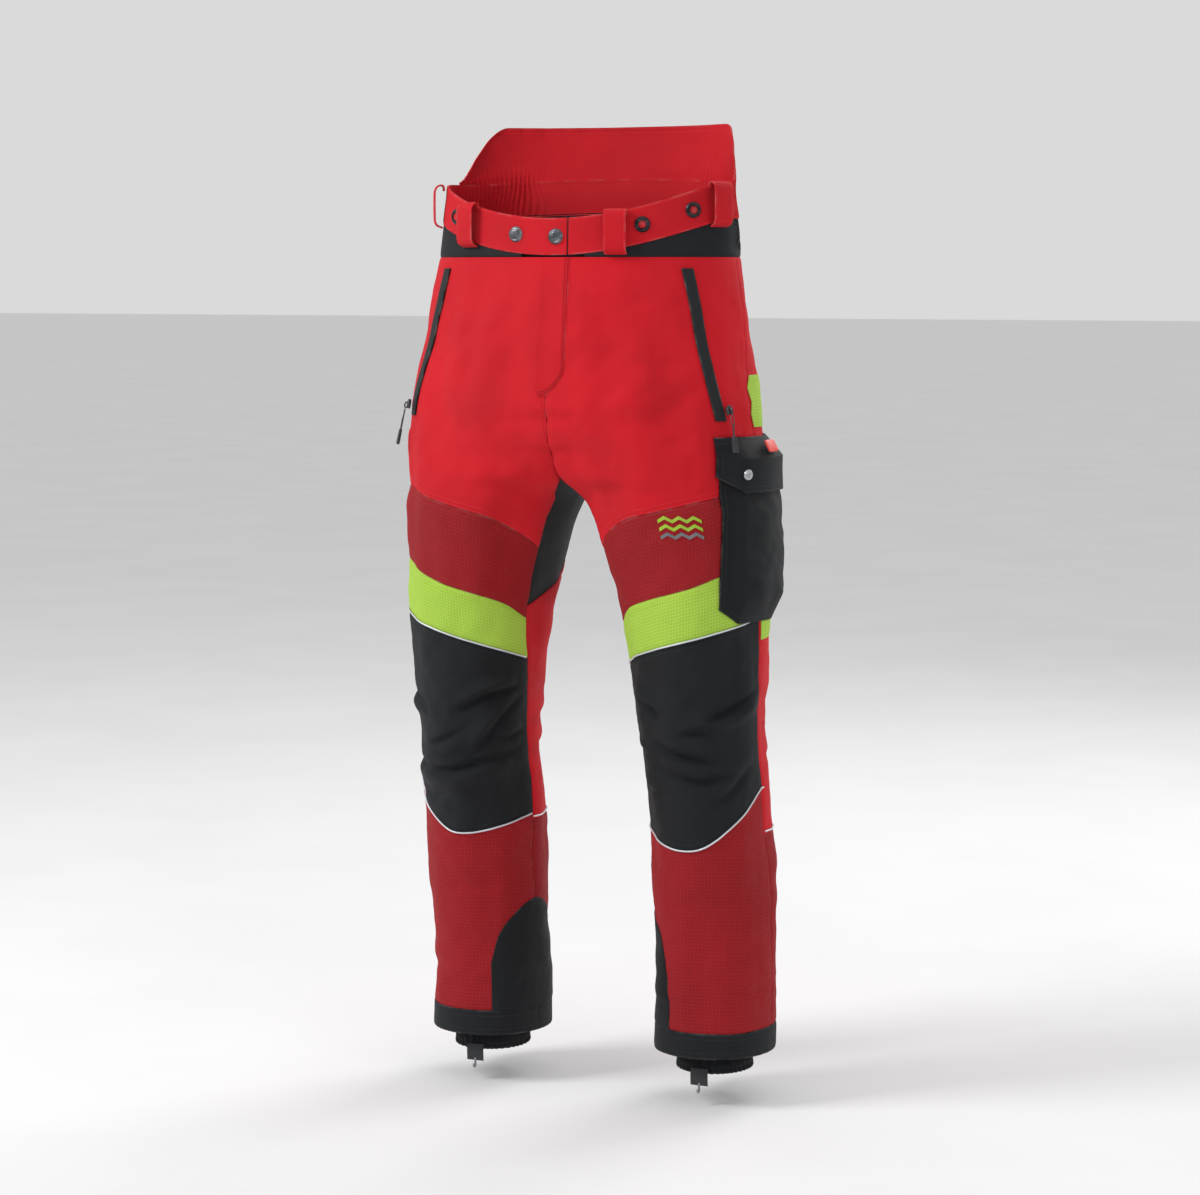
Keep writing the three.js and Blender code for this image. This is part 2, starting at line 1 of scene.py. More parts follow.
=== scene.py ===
# %% [markdown]
# # Chainsaw protection trousers
# These are high-backed work trousers with loose cut-stopping fibre inside both legs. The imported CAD
# model is the frame: it has every panel, pad and fastening in its place, as plain solids. This
# script sews the real-looking cloth over it. Each panel is a thin closed shell of a few thousand
# small squares, worked out with numpy as a function of two numbers: how far round the leg, and how
# high. That way neighbouring panels share one surface and one set of creases, so seams always meet.

import bmesh
import bpy
import numpy as np
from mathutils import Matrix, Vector


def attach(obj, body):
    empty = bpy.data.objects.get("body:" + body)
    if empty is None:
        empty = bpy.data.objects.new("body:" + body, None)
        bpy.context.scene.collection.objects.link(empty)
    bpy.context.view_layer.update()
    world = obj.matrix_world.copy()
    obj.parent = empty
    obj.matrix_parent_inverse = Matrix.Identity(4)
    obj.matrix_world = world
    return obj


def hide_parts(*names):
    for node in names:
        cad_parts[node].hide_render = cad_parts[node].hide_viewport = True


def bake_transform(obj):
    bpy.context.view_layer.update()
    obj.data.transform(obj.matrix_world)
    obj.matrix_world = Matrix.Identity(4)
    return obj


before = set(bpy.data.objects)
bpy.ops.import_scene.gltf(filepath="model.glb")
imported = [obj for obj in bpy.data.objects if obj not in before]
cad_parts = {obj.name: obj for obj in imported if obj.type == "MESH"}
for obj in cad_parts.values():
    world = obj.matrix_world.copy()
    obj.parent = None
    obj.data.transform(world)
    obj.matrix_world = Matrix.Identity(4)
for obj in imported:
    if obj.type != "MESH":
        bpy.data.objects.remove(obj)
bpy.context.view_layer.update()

# %% [markdown]
# ## The body inside the cloth
# A real garment hangs from a body, so we start with one. At each height the body's section is an
# ellipse for each leg, with its own width, front depth and back depth. Above the crotch the two
# ellipses run into each other and are cut off at the middle, which gives the hips. A table holds
# the ellipses at a few heights, and a smooth curve through its rows gives them at every height.
# Heights are in millimetres above the hem, and angles go round the leg: 0 in front, 90 at the outer
# side, 180 behind. Loops and tables are easy to change, which is why this is not a sculpted mesh.

# %% Smooth curves and the body surface
MM = 0.001
WAIST_TOP = 1058
LEFT, RIGHT = 1, -1
SIDES = {"left": LEFT, "right": RIGHT}
MIDDLE_GAP = 0.2  # mm that a leg's cloth keeps clear of the middle of the body

# Height, leg centre, half width, half depth in front, half depth behind, shift to the back.
SECTIONS = [
    (-60, 159, 77, 80, 84, 38), (0, 159, 77.5, 80, 84, 38), (125, 159, 74, 79, 84, 36),
    (229, 160, 77, 81, 90, 30), (307, 159, 76, 84, 90, 18), (385, 158, 77, 89, 88, 4),
    (437, 156, 80, 91, 89, -2), (502, 154, 86, 94, 94, -4), (567, 149, 93, 99, 102, -6),
    (632, 140, 100, 105, 112, -8), (697, 127, 112, 110, 122, -12), (716, 118, 118, 111, 126, -13),
    (740, 99, 138, 112, 130, -15), (770, 76, 163, 113, 134, -18), (800, 54, 181, 114, 137, -20),
    (830, 36, 196, 115, 138, -22), (860, 21, 206, 115, 137, -20.5), (900, 8, 211, 115, 132, -15.5),
    (950, 1, 212, 113, 123, -10.5), (1010, 0, 202, 110, 114, -5), (1060, 0, 197, 107, 109, -4),
    (1100, 0, 192, 105, 109, -3), (1200, 0, 203, 108, 125, 2),
]


def curve(rows, x, column=1):
    """One column of a table, on a smooth curve through its rows: between two rows, a cubic that
    has the rows' values at its ends and, as slopes, those of the lines through the rows' neighbours."""
    rows = np.asarray(rows, float)
    x = np.asarray(x, float)
    at, value = rows[:, 0], rows[:, column]
    slope = np.gradient(value)
    slope[1:-1] = (value[2:] - value[:-2]) / (at[2:] - at[:-2])
    slope[0] = (value[1] - value[0]) / (at[1] - at[0])
    slope[-1] = (value[-1] - value[-2]) / (at[-1] - at[-2])
    i = np.clip(np.searchsorted(at, x, side="right") - 1, 0, len(at) - 2)
    step = at[i + 1] - at[i]
    t = np.clip((x - at[i]) / step, 0, 1)
    return (
        (2 * t**3 - 3 * t**2 + 1) * value[i]
        + (t**3 - 2 * t**2 + t) * step * slope[i]
        + (3 * t**2 - 2 * t**3) * value[i + 1]
        + (t**3 - t**2) * step * slope[i + 1]
    )


def on_body(side, angle, height, out=0.0, reach=MIDDLE_GAP):
    """The point of the body at an angle and height, in metres: centre plus half width times sine
    across, minus half depth times cosine along, then moved out along the ellipse's normal. Nothing
    comes nearer to the middle of the body than reach, in millimetres."""
    angle, height = np.broadcast_arrays(np.asarray(angle, float), np.asarray(height, float))
    centre, wide, front, back, shift = (curve(SECTIONS, height, c) for c in range(1, 6))
    sine, cosine = np.sin(np.radians(angle)), np.cos(np.radians(angle))
    deep = np.where(cosine > 0, front, back)
    across, along = sine / wide, -cosine / deep
    size = np.hypot(across, along)
    x = np.maximum(centre + wide * sine + out * across / size, reach)
    y = shift - deep * cosine + out * along / size
    return np.stack([side * x, y, height - WAIST_TOP], -1) * MM


print("waist is", round(float(curve(SECTIONS, WAIST_TOP, 2)) * 2), "mm wide")

# %% [markdown]
# ## Seam lines
# A pattern cutter draws the panels' edges on the flat cloth. Here each edge is a curve on the body:
# a side seam is an angle for each height, and a cross seam is a height for each angle. They are the
# same curves that the CAD panels end on, so a cloth panel covers exactly its own solid.

# %% The seams as curves
WAIST_SEAM, HEM_BAND, CROTCH = 1010, 33, 716
SHANK_TOP, BACK_SEAM = 283, 600
GUSSET_APEX, GUSSET_TIP = 794, 567
BAND_TALL, BAND_END = 46, 6
YOKE_TOP = 1178


def level(value):
    """A seam at one height or one angle everywhere."""
    return lambda x: np.zeros_like(np.asarray(x, float)) + value


def seam(*rows):
    """A seam through rows of (where, value)."""
    return lambda x: curve(rows, x)


outer_seam = seam((0, 93), (283, 90), (385, 85), (560, 82), (716, 84), (1010, 88))
inner_seam = seam((0, -76), (200, -76), (400, -80), (567, -66), (716, -64))
thigh_seam = seam((-66, 641), (-48, 662), (-20, 686), (10, 700), (49, 716), (84, 726))
hivis_top = seam((-66, 552), (-45, 572), (-20, 586), (20, 604), (50, 622), (84, 634))
hivis_low = seam((-70, 500), (-42, 514), (0, 533), (45, 552), (84, 566))
knee_low = seam((-78, 292), (-45, 280), (-10, 270), (15, 274), (48, 304), (85, 346))
patch_top = seam((-127, 95), (-118, 131), (-102, 159), (-76, 178), (-50, 159), (-34, 131), (-26, 95))
gusset_back = seam((GUSSET_TIP, -66), (608, -114), (660, -138), (730, -150), (GUSSET_APEX, -162))


def middle(height):
    """How far past the front of the leg the middle of the body lies, as an angle: the angle whose
    sine is the leg's centre over its half width."""
    ratio = curve(SECTIONS, height) / curve(SECTIONS, height, 2)
    return np.degrees(np.arcsin(np.clip(ratio, 0, 0.99999)))


def front_inner(height):
    """The front panel's inner edge: the inner seam below, then along the gusset to the middle."""
    t = np.clip((height - CROTCH + 10) / (GUSSET_APEX - CROTCH + 10), 0, 1)
    below = inner_seam(np.minimum(height, CROTCH))
    return below + (-middle(np.maximum(height, GUSSET_APEX)) - below) * t


def back_inner(height):
    """The back panel's inner edge: inner seam, then the gusset's back edge, then the middle."""
    edge = 360 + gusset_back(height)
    edge = np.where(height > 750, np.minimum(edge, 180 + middle(height)), edge)
    edge = np.where(height <= GUSSET_TIP, 360 + inner_seam(height), edge)
    return np.where(height >= GUSSET_APEX, 180 + middle(height), edge)


def band_low(angle):
    """The waistband's lower edge: 1012 in front plus 45 times the sine squared, and higher behind."""
    sine, cosine = np.sin(np.radians(angle)), np.cos(np.radians(angle))
    return np.where(cosine < 0, 1057 + 8 * (1 - sine**2), 1012 + 45 * sine**2)


def band_top(angle):
    return band_low(angle) + BAND_TALL


def yoke_top(angle):
    """The kidney yoke climbs smoothly from the side to its level top edge."""
    t = np.clip((np.minimum(angle, 360 - angle) - 97) / 34, 0, 1)
    return band_top(angle) + 3 + (YOKE_TOP - band_top(angle) - 3) * (t * t * (3 - 2 * t))


print("waistband rises from", float(band_low(0)), "to", float(band_low(180)), "mm above the hem")

# %% [markdown]
# ## How the cloth hangs
# Heavy cotton doesn't lie flat on a body. It breaks at the knee and the crotch in a few strong
# folds, and is a little uneven everywhere else. A cloth simulation could find such folds, but it
# would also move the seams off their solids. So the folds are placed one by one, as a tailor would
# point them out, and the unevenness is a sum of sine waves. Every layer uses the same field, so
# the outer cloth, the pad and the lining never cross.

# %% The fields of creases
DEGREE = 1.45  # millimetres of cloth for a degree round the leg


def waves(points, length, seed, stretch=(1, 1, 1)):
    """Smooth unevenness from about -1 to 1: the mean of 16 sine waves of about one length (mm), in
    directions drawn once, at points in millimetres. Stretch makes it longer along an axis."""
    draw = np.random.default_rng(seed)
    ways = draw.normal(size=(16, 3))
    ways /= np.linalg.norm(ways, axis=1, keepdims=True)
    ways *= 2 * np.pi / length * draw.uniform(0.6, 1.5, (16, 1)) / np.asarray(stretch)
    return np.sin(points @ ways.T + draw.uniform(0, 2 * np.pi, 16)).sum(-1) / 4


def crease(angle, height, path, width, depth):
    """One crease along a bent path of (angle, height): a narrow valley on the path, and beside it,
    above, a rounder ridge. Both die away towards the path's ends."""
    x, y = DEGREE * angle, np.asarray(height, float)
    ends = np.asarray(path, float) * (DEGREE, 1)
    lengths = np.hypot(*np.diff(ends, axis=0).T)
    start = np.concatenate([[0], np.cumsum(lengths)]) / lengths.sum()
    nearest = np.full(x.shape, np.inf)
    signed, place = np.zeros(x.shape), np.zeros(x.shape)
    for k, (a, b) in enumerate(zip(ends[:-1], ends[1:])):
        way = (b - a) / lengths[k]
        t = np.clip(((x - a[0]) * way[0] + (y - a[1]) * way[1]) / lengths[k], 0, 1)
        dx, dy = x - a[0] - t * (b - a)[0], y - a[1] - t * (b - a)[1]
        away = np.hypot(dx, dy)
        closer = away < nearest
        side = np.where(way[0] * dy - way[1] * dx >= 0, 1, -1)
        signed = np.where(closer, away * side, signed)
        place = np.where(closer, start[k] + t * (start[k + 1] - start[k]), place)
        nearest = np.where(closer, away, nearest)
    fade = np.sin(np.pi * np.clip(place, 0.02, 0.98)) ** 0.7
    ridge = np.exp(-(((signed - 1.15 * width) / width) ** 2))
    valley = np.exp(-((signed / (0.48 * width)) ** 2))
    return depth * fade * (0.85 * ridge - valley)


# Each crease is (path, width, depth), in order from the strongest.
KNEE = {
    LEFT: [
        (((78, 474), (52, 452), (29, 438)), 10, 5.5),
        (((-52, 466), (-30, 452), (-13, 437)), 9, 5.0),
        (((-30, 412), (-8, 398), (14, 390), (33, 386)), 11, 5.5),
        (((2, 420), (18, 424), (34, 425)), 8, 3.0),
        (((-24, 374), (-4, 368), (18, 361), (53, 371)), 11, 4.5),
        (((30, 330), (52, 352), (70, 380)), 12, 3.5),
        (((-60, 350), (-34, 340), (-12, 346)), 12, 3.0),
        (((-70, 402), (-52, 392), (-38, 396)), 9, 3.0),
    ],
    RIGHT: [
        (((78, 456), (52, 444), (27, 438)), 9, 4.5),
        (((-64, 465), (-31, 452), (-7, 433)), 9, 5.5),
        (((50, 380), (30, 384), (4, 396), (-16, 411)), 10, 4.5),
        (((-66, 452), (-50, 424), (-36, 398), (-22, 374)), 10, 5.0),
        (((80, 362), (56, 355), (20, 352), (0, 354), (-36, 369), (-62, 378)), 11, 5.5),
        (((-74, 404), (-56, 396), (-44, 402)), 9, 3.0),
        (((60, 322), (30, 316), (6, 322)), 13, 3.0),
    ],
}
BOTH = [
    (((-62, 742), (-36, 764), (-8, 775)), 13, 4.0),
    (((-58, 704), (-30, 722), (6, 728)), 15, 3.0),
    (((-50, 800), (-26, 812), (4, 812)), 14, 2.5),
    (((20, 800), (44, 830), (56, 862)), 20, 2.0),
    (((170, 716), (140, 736), (112, 742)), 18, 5.0),
    (((196, 690), (160, 700), (120, 694)), 18, 4.5),
    (((188, 660), (156, 652), (128, 662)), 18, 3.0),
    (((120, 420), (160, 404), (210, 402), (250, 422)), 13, 5.5),
    (((110, 386), (150, 368), (220, 366), (262, 388)), 13, 5.0),
    (((130, 452), (180, 440), (232, 456)), 15, 4.0),
    (((-40, 210), (-10, 196), (24, 208)), 20, 2.0),
    (((30, 92), (60, 82), (100, 90)), 16, 2.5),
    (((-70, 70), (-40, 62), (-4, 74)), 16, 2.0),
    (((150, 120), (190, 108), (230, 124)), 18, 3.0),
]


def still(points, around, height):
    """From 1 down to 0.25 near the fly and the pocket zips, which hold the cloth flat."""
    zip_angle = 57 + 8 * np.clip((990 - height) / 172, 0, 1)
    from_zip = np.where(height > 790, 3 * np.abs(around - zip_angle), 99)
    from_fly = np.where(height > 830, np.abs(points[..., 0]), 99)
    near = np.exp(-((np.minimum(from_zip, from_fly) / 32) ** 2))
    return 1 - 0.75 * near


def drape(side, angle, height):
    """How far the cloth stands off the body, in millimetres: the creases, three sizes of
    unevenness, and long soft folds down the thighs and shins, all quiet at waistband and hem."""
    angle, height = np.broadcast_arrays(np.asarray(angle, float), np.asarray(height, float))
    around = np.where(angle > 282, angle - 360, np.where(angle < -90, angle + 360, angle))
    points = on_body(side, angle, height) / MM
    calm = np.clip((WAIST_SEAM + 6 - height) / 60, 0, 1) * np.clip((height + 20) / 90, 0.25, 1)
    out = 1.5 * waves(points, 120, 3) + 0.7 * waves(points, 46, 5) + 0.22 * waves(points, 17, 8)
    out += 1.6 * waves(points, 62, 11, stretch=(1, 1, 4))
    for path, width, depth in KNEE[side]:
        out += crease(around, height, path, width, 1.45 * depth)
    for path, width, depth in BOTH:
        out += crease(around, height, path, width, depth)
    return out * calm * still(points, around, height)


print("knee creases reach", round(float(np.abs(drape(LEFT, np.arange(-80, 80), 440)).max()), 1), "mm")

# %% [markdown]
# ## From numbers to a mesh
# A shell is two grids of points, an outer face and an inner face, joined by a rim. Building both
# at once gives a closed body whose faces point outwards, with no modifier. Blender could also
# thicken a sheet with Solidify, but then a tight fold can turn inside out. Each point also carries
# its place on the cloth in metres, as a UV map, and two numbers that the materials read: its
# distance from the nearest sewn edge, and how far along that edge it is. Stitches are drawn there.

# %% Mesh making
scene = bpy.context.scene


def grid(columns, rows):
    """Two numbers from 0 to 1, u along the columns and v up the rows."""
    return np.meshgrid(np.linspace(0, 1, columns), np.linspace(0, 1, rows))


def add_piece(name, mesh, sharp):
    """Puts a mesh into the scene as an object, shaded smoothly up to an angle in degrees."""
    mesh.polygons.foreach_set("use_smooth", np.ones(len(mesh.polygons), bool))
    mesh.set_sharp_from_angle(angle=np.radians(sharp))
    piece = bpy.data.objects.new(name, mesh)
    scene.collection.objects.link(piece)
    return piece


def make_mesh(name, vertices, faces, uv=None, fields=None, sharp=50):
    """An object from points in metres and faces of four corners."""
    mesh = bpy.data.meshes.new(name)
    mesh.vertices.add(len(vertices))
    mesh.vertices.foreach_set("co", np.ascontiguousarray(vertices, np.float32).ravel())
    mesh.loops.add(faces.size)
    mesh.loops.foreach_set("vertex_index", faces.astype(np.int32).ravel())
    mesh.polygons.add(len(faces))
    mesh.polygons.foreach_set("loop_start", np.arange(0, faces.size, faces.shape[1], dtype=np.int32))
    mesh.update(calc_edges=True)
    if uv is not None:
        layer = mesh.uv_layers.new(name="UVMap")
        layer.data.foreach_set("uv", np.ascontiguousarray(uv[faces.ravel()], np.float32).ravel())
    for key, values in (fields or {}).items():
        field = mesh.attributes.new(key, "FLOAT", "POINT")
        field.data.foreach_set("value", np.ascontiguousarray(values, np.float32).ravel())
    return add_piece(name, mesh, sharp)


def shell_faces(rows, columns, flip):
    """The faces of a closed shell of two grids of rows by columns points: outer face, inner face
    turned round, and the rim along all four edges."""
    index = np.arange(rows * columns).reshape(rows, columns)
    inside = index + rows * columns

    def strip(a, b, c, d):
        return np.stack([a.ravel(), b.ravel(), c.ravel(), d.ravel()], 1)

    def sheet(g):
        return strip(g[:-1, :-1], g[:-1, 1:], g[1:, 1:], g[1:, :-1])

    faces = np.concatenate([
        sheet(index), sheet(inside)[:, ::-1],
        strip(inside[0, :-1], inside[0, 1:], index[0, 1:], index[0, :-1]),
        strip(index[-1, :-1], index[-1, 1:], inside[-1, 1:], inside[-1, :-1]),
        strip(index[:-1, 0], index[1:, 0], inside[1:, 0], inside[:-1, 0]),
        strip(inside[:-1, -1], inside[1:, -1], index[1:, -1], index[:-1, -1]),
    ])
    return faces[:, ::-1] if flip else faces


def run_lengths(points, axis):
    """Distance along one way of the grid from its first line, in millimetres."""
    steps = np.linalg.norm(np.diff(points, axis=axis), axis=-1) / MM
    first = np.zeros_like(np.take(steps, [0], axis))
    return np.concatenate([first, np.cumsum(steps, axis)], axis)


def edge_fields(points, sewn):
    """Distance to the nearest edge, distance to the nearest sewn edge and the run along it. Sewn
    holds letters: l and r for the first and last column, b and t for the first and last row."""
    across, up = run_lengths(points, 1), run_lengths(points, 0)
    away = {"l": across, "r": across[:, -1:] - across, "b": up, "t": up[-1:] - up}
    edge = np.min([away[k] for k in "lrbt"], 0)
    if not sewn:
        return across, up, edge, np.full(edge.shape, 99.0), across
    stack = np.stack([away[k] for k in sewn])
    best = stack.argmin(0)
    runs = np.stack([up if k in "lr" else across for k in sewn])
    return across, up, edge, stack.min(0), np.take_along_axis(runs, best[None], 0)[0]


def shell(name, outer, inner, flip=False, sewn="", start="l"):
    """A closed shell from two grids of points, with its UV map and edge fields. The weave is laid
    out from the first column, or with start r from the last, so that it runs straight there."""
    across, up, _, seam_distance, run = edge_fields(outer, sewn)
    if start == "r":
        across = across - across[:, -1:]
    rows, columns = outer.shape[:2]

    def both(values):
        return np.concatenate([values.ravel(), values.ravel()])

    uv = np.stack([both(across), both(up)], 1) * MM
    fields = {"seam": both(seam_distance), "run": both(run)}
    vertices = np.concatenate([outer.reshape(-1, 3), inner.reshape(-1, 3)])
    return make_mesh(name, vertices, shell_faces(rows, columns, flip), uv, fields)


def body_shell(name, side, angle, height, stand, thick, sewn, reach=MIDDLE_GAP, start="l"):
    """A closed shell on the body, standing off by stand outside and by thick less inside."""
    outer = on_body(side, angle, height, stand, reach)
    inner = on_body(side, angle, height, stand - thick, reach)
    return shell(name, outer, inner, flip=side == RIGHT, sewn=sewn, start=start)


print("mesh tools ready")

# %% [markdown]
# ## One function for every panel
# Each panel lies between two side seams and two cross seams. A side seam is an angle that depends
# on the height, and a cross seam is a height that depends on the angle, so a corner is found by
# going back and forth between the two a few times. At its edges a real panel is folded under and
# sewn down, so the cloth rolls in towards the seam and puckers a little beside the thread.

# %% Panels
CLOTH = 1.6
PANEL_GAP = 0.25  # mm from a panel's edge to its seam
ROLL_WIDE = 2.4  # mm from the edge within which the cloth rolls in
PUCKER_LONG, PUCKER_WIDE, PUCKER_DEEP = 11, 7, 0.28  # mm along the seam, beside it and outwards


def panel_places(inner, outer, low, high, step, gap=PANEL_GAP):
    """Angles and heights of a grid inside four seams, kept a gap clear of each."""
    halfway = (float(inner(WAIST_SEAM)) + float(outer(WAIST_SEAM))) / 2
    bottom, top = float(low(halfway)), float(high(halfway))
    mid = (bottom + top) / 2
    wide = float(curve(SECTIONS, mid, 2)) * np.radians(float(outer(mid)) - float(inner(mid)))
    columns, rows = max(4, int(wide / step)), max(4, int((top - bottom) / step))
    u, v = grid(columns + 1, rows + 1)
    angle = np.full(u.shape, halfway)
    for _ in range(9):
        bottom, top = low(angle) + gap, high(angle) - gap
        height = bottom + (top - bottom) * v
        slack = np.degrees(gap / curve(SECTIONS, height, 2))
        left, right = inner(height) + slack, outer(height) - slack
        angle = left + (right - left) * u
    return angle, height


def cloth(name, side, inner, outer, low, high, out=0.0, thick=CLOTH, sewn="lrbt", step=3.6,
          gap=PANEL_GAP, roll=1.0, start="l"):
    """A panel: body surface plus drape, rolled in at its edges, thick enough to be closed."""
    angle, height = panel_places(inner, outer, low, high, step, gap)
    flat = on_body(side, angle, height, out)
    _, _, edge, seam_distance, run = edge_fields(flat, sewn)
    stand = out + drape(side, angle, height) - roll * np.exp(-((edge / ROLL_WIDE) ** 2))
    beat = 2 * np.pi * run / PUCKER_LONG + 2.2 * waves(flat / MM, 40, 21)
    pucker = np.sin(beat) * np.exp(-((seam_distance / PUCKER_WIDE) ** 2))
    stand = stand + PUCKER_DEEP * pucker * (roll > 0)
    return body_shell(name, side, angle, height, stand, thick, sewn, start=start)


print("a panel is about", CLOTH, "mm thick")

# %% [markdown]
# ## Materials: how cloth looks close up
# Woven cloth has three scales. Threads, under a millimetre, give it its soft grain, and painted shade
# darkens the hollows between them. The weave's pattern, such as the squares of ripstop, shows from a
# few steps away. Over the whole garment the dye is a little uneven, and edges wear paler. A painted
# picture of cloth could be laid on, but it would blur when seen close. These materials draw each scale
# with nodes, from the UV map in metres, so the weave follows the panel round the leg and is always
# the right size.

# %% Node helpers
def linear(r, g, b):
    """A colour from 0-255 display values to Blender's linear values: (v / 255) to the power 2.2."""
    return tuple((v / 255) ** 2.2 for v in (r, g, b)) + (1.0,)


class Recipe:
    """A material's node tree, with one short method for each kind of step."""

    def __init__(self, name, rough=0.7, metal=0.0, sheen=0.0, specular=0.5):
        self.material = bpy.data.materials.new(name)
        self.material.use_nodes = True
        self.tree = self.material.node_tree
        self.shader = self.tree.nodes["Principled BSDF"]
        self.shader.inputs["Roughness"].default_value = rough
        self.shader.inputs["Metallic"].default_value = metal
        self.shader.inputs["Sheen Weight"].default_value = sheen
        self.shader.inputs["Sheen Roughness"].default_value = 0.45
        self.shader.inputs["Specular IOR Level"].default_value = specular

    def step(self, kind, settings=None, **inputs):
        """Adds a node, with its settings, and plugs values or other nodes' outputs into it."""
        made = self.tree.nodes.new(kind)
        for key, value in (settings or {}).items():
            setattr(made, key, value)
        for key, value in inputs.items():
            socket = made.inputs[int(key[1:]) if key[1:].isdigit() else key.replace("_", " ")]
            if isinstance(value, bpy.types.NodeSocket):
                self.tree.links.new(value, socket)
            else:
                socket.default_value = value
        return made

    def math(self, operation, a, b=0.0, c=0.0):
        return self.step("ShaderNodeMath", {"operation": operation}, i0=a, i1=b, i2=c).outputs[0]

    def times(self, a, b):
        return self.math("MULTIPLY", a, b)

    def plus(self, a, b):
        return self.math("ADD", a, b)

    def field(self, name):
        return self.step("ShaderNodeAttribute", {"attribute_name": name}).outputs["Fac"]

    def place(self, kind="UV"):
        where = self.step("ShaderNodeTexCoord").outputs[kind]
        parts = self.step("ShaderNodeSeparateXYZ", Vector=where)
        return parts.outputs[0], parts.outputs[1], parts.outputs[2]

    def noise(self, scale, detail=2.0, kind="Object"):
        where = self.step("ShaderNodeTexCoord").outputs[kind]
        return self.step("ShaderNodeTexNoise", Vector=where, Scale=scale, Detail=detail).outputs["Fac"]

    def ramp(self, value, low, high, to_low=0.0, to_high=1.0):
        return self.step("ShaderNodeMapRange", {"interpolation_type": "SMOOTHSTEP"}, Value=value,
                         From_Min=low, From_Max=high, To_Min=to_low, To_Max=to_high).outputs[0]

    def mix(self, amount, a, b):
        return self.step("ShaderNodeMix", {"data_type": "RGBA"}, i0=amount, i6=a, i7=b).outputs[2]

    def finish(self, colour, height=None, strength=1.0):
        self.tree.links.new(colour, self.shader.inputs["Base Color"])
        if height is not None:
            bump = self.step("ShaderNodeBump", Height=height, Distance=1.0, Strength=strength)
            self.tree.links.new(bump.outputs[0], self.shader.inputs["Normal"])
        return self.material


def threads(recipe, pitch, kind):
    """The weave's height from 0 to 1. Plain weave is the product of a sine across and a sine up.
    Twill is one sine along the diagonal, which gives its slanted ribs."""
    u, v, _ = recipe.place()
    turn = 2 * np.pi / pitch
    if kind == "twill":
        slanted = recipe.plus(u, recipe.times(v, 0.7))
        return recipe.math("SINE", recipe.times(slanted, turn))
    rise = recipe.math("SINE", recipe.times(u, turn))
    over = recipe.math("SINE", recipe.times(v, turn))
    return recipe.times(rise, over)


def squares(recipe, pitch, width):
    """1 on the lines of a square grid of a pitch, and 0 between them."""
    lines = []
    for place in recipe.place()[:2]:
        fold = recipe.math("PINGPONG", place, pitch / 2)
        lines.append(recipe.ramp(fold, width * 0.3, width * 0.8, 1.0, 0.0))
    return recipe.math("MAXIMUM", lines[0], lines[1])


def stitches(recipe, rows=(2.0, 7.5), length=3.4, thread=0.5):
    """1 on the stitches: a thin band at each row's distance from the sewn edge, cut into dashes."""
    edge, run = recipe.field("seam"), recipe.field("run")
    beat = recipe.math("FRACT", recipe.math("DIVIDE", run, length))
    dash = recipe.math("LESS_THAN", beat, 0.72)
    band = None
    for row in rows:
        off = recipe.math("ABSOLUTE", recipe.math("SUBTRACT", edge, row))
        one = recipe.ramp(off, thread * 0.6, thread * 1.2, 1.0, 0.0)
        band = one if band is None else recipe.math("MAXIMUM", band, one)
    return recipe.times(band, dash), band


def paler(colour, gain, lift):
    """A colour with each channel times a gain plus a lift, at most 1."""
    return tuple(min(1, c * gain + lift) for c in colour[:3]) + (1.0,)


def woven(name, colour, shade, kind="plain", pitch=0.0009, grid=None, grid_colour=None, rough=0.8,
          sheen=0.25, thread_colour=None, rows=(2.0, 7.5), fuzz=0.5, wear=0.12, depth=0.00012):
    """A woven cloth: threads with painted shade in their hollows, an optional ripstop grid, uneven dye, pale
    worn edges, and stitches with painted shade in the sunken line under them.
    """
    recipe = Recipe(name, rough, sheen=sheen, specular=0.3)
    recipe.shader.inputs["Sheen Tint"].default_value = paler(colour, 1.6, 0.1)
    weave = threads(recipe, pitch, kind)
    cloud = recipe.ramp(recipe.noise(9.0, 4.0), 0.3, 0.7)
    fibre = recipe.noise(1400.0, 2.0)
    base = recipe.mix(recipe.times(cloud, 0.35), colour, shade)
    # Painted shade: where the weave is low, between the threads, the colour is mixed up to 30% towards the
    # shade colour.
    base = recipe.mix(recipe.ramp(weave, -1.0, 0.6, 0.30, 0.0), base, shade)
    lint = tuple(c**0.8 for c in colour[:3]) + (1.0,)
    base = recipe.mix(recipe.ramp(fibre, 0.35, 0.75, 0.0, 0.22 * fuzz), base, lint)
    height = recipe.times(weave, depth)
    height = recipe.plus(height, recipe.times(fibre, 0.00018 * fuzz))
    if grid:
        line = squares(recipe, *grid)
        base = recipe.mix(recipe.times(line, 0.55), base, grid_colour or shade)
        height = recipe.plus(height, recipe.times(line, 0.00022))
    edge = recipe.field("seam")
    near = recipe.ramp(edge, 0.0, 3.0, 1.0, 0.0)
    worn = recipe.times(near, recipe.ramp(recipe.noise(60.0, 3.0), 0.4, 0.7))
    base = recipe.mix(recipe.times(worn, wear), base, (0.6, 0.55, 0.5, 1.0))
    if rows:
        dash, band = stitches(recipe, rows)
        # Painted shade: the sunken line under each row of stitches is mixed 35% towards the shade colour.
        base = recipe.mix(recipe.times(band, 0.35), base, shade)
        base = recipe.mix(dash, base, thread_colour or paler(colour, 1.25, 0.01))
        height = recipe.math("SUBTRACT", height, recipe.times(band, 0.00045))
        height = recipe.plus(height, recipe.times(dash, 0.0007))
    return recipe.finish(base, height)


# %% [markdown]
# The bright red is a stretch softshell with a fine twill. The dark red on thighs and shins is
# ripstop: a strong thread every few millimetres makes its squares. The high-visibility band is an
# open square weave. Knees, pockets, hem and gusset are black: a coarse hard-wearing weave where
# the knee kneels, and a smooth stretch cloth between the legs.

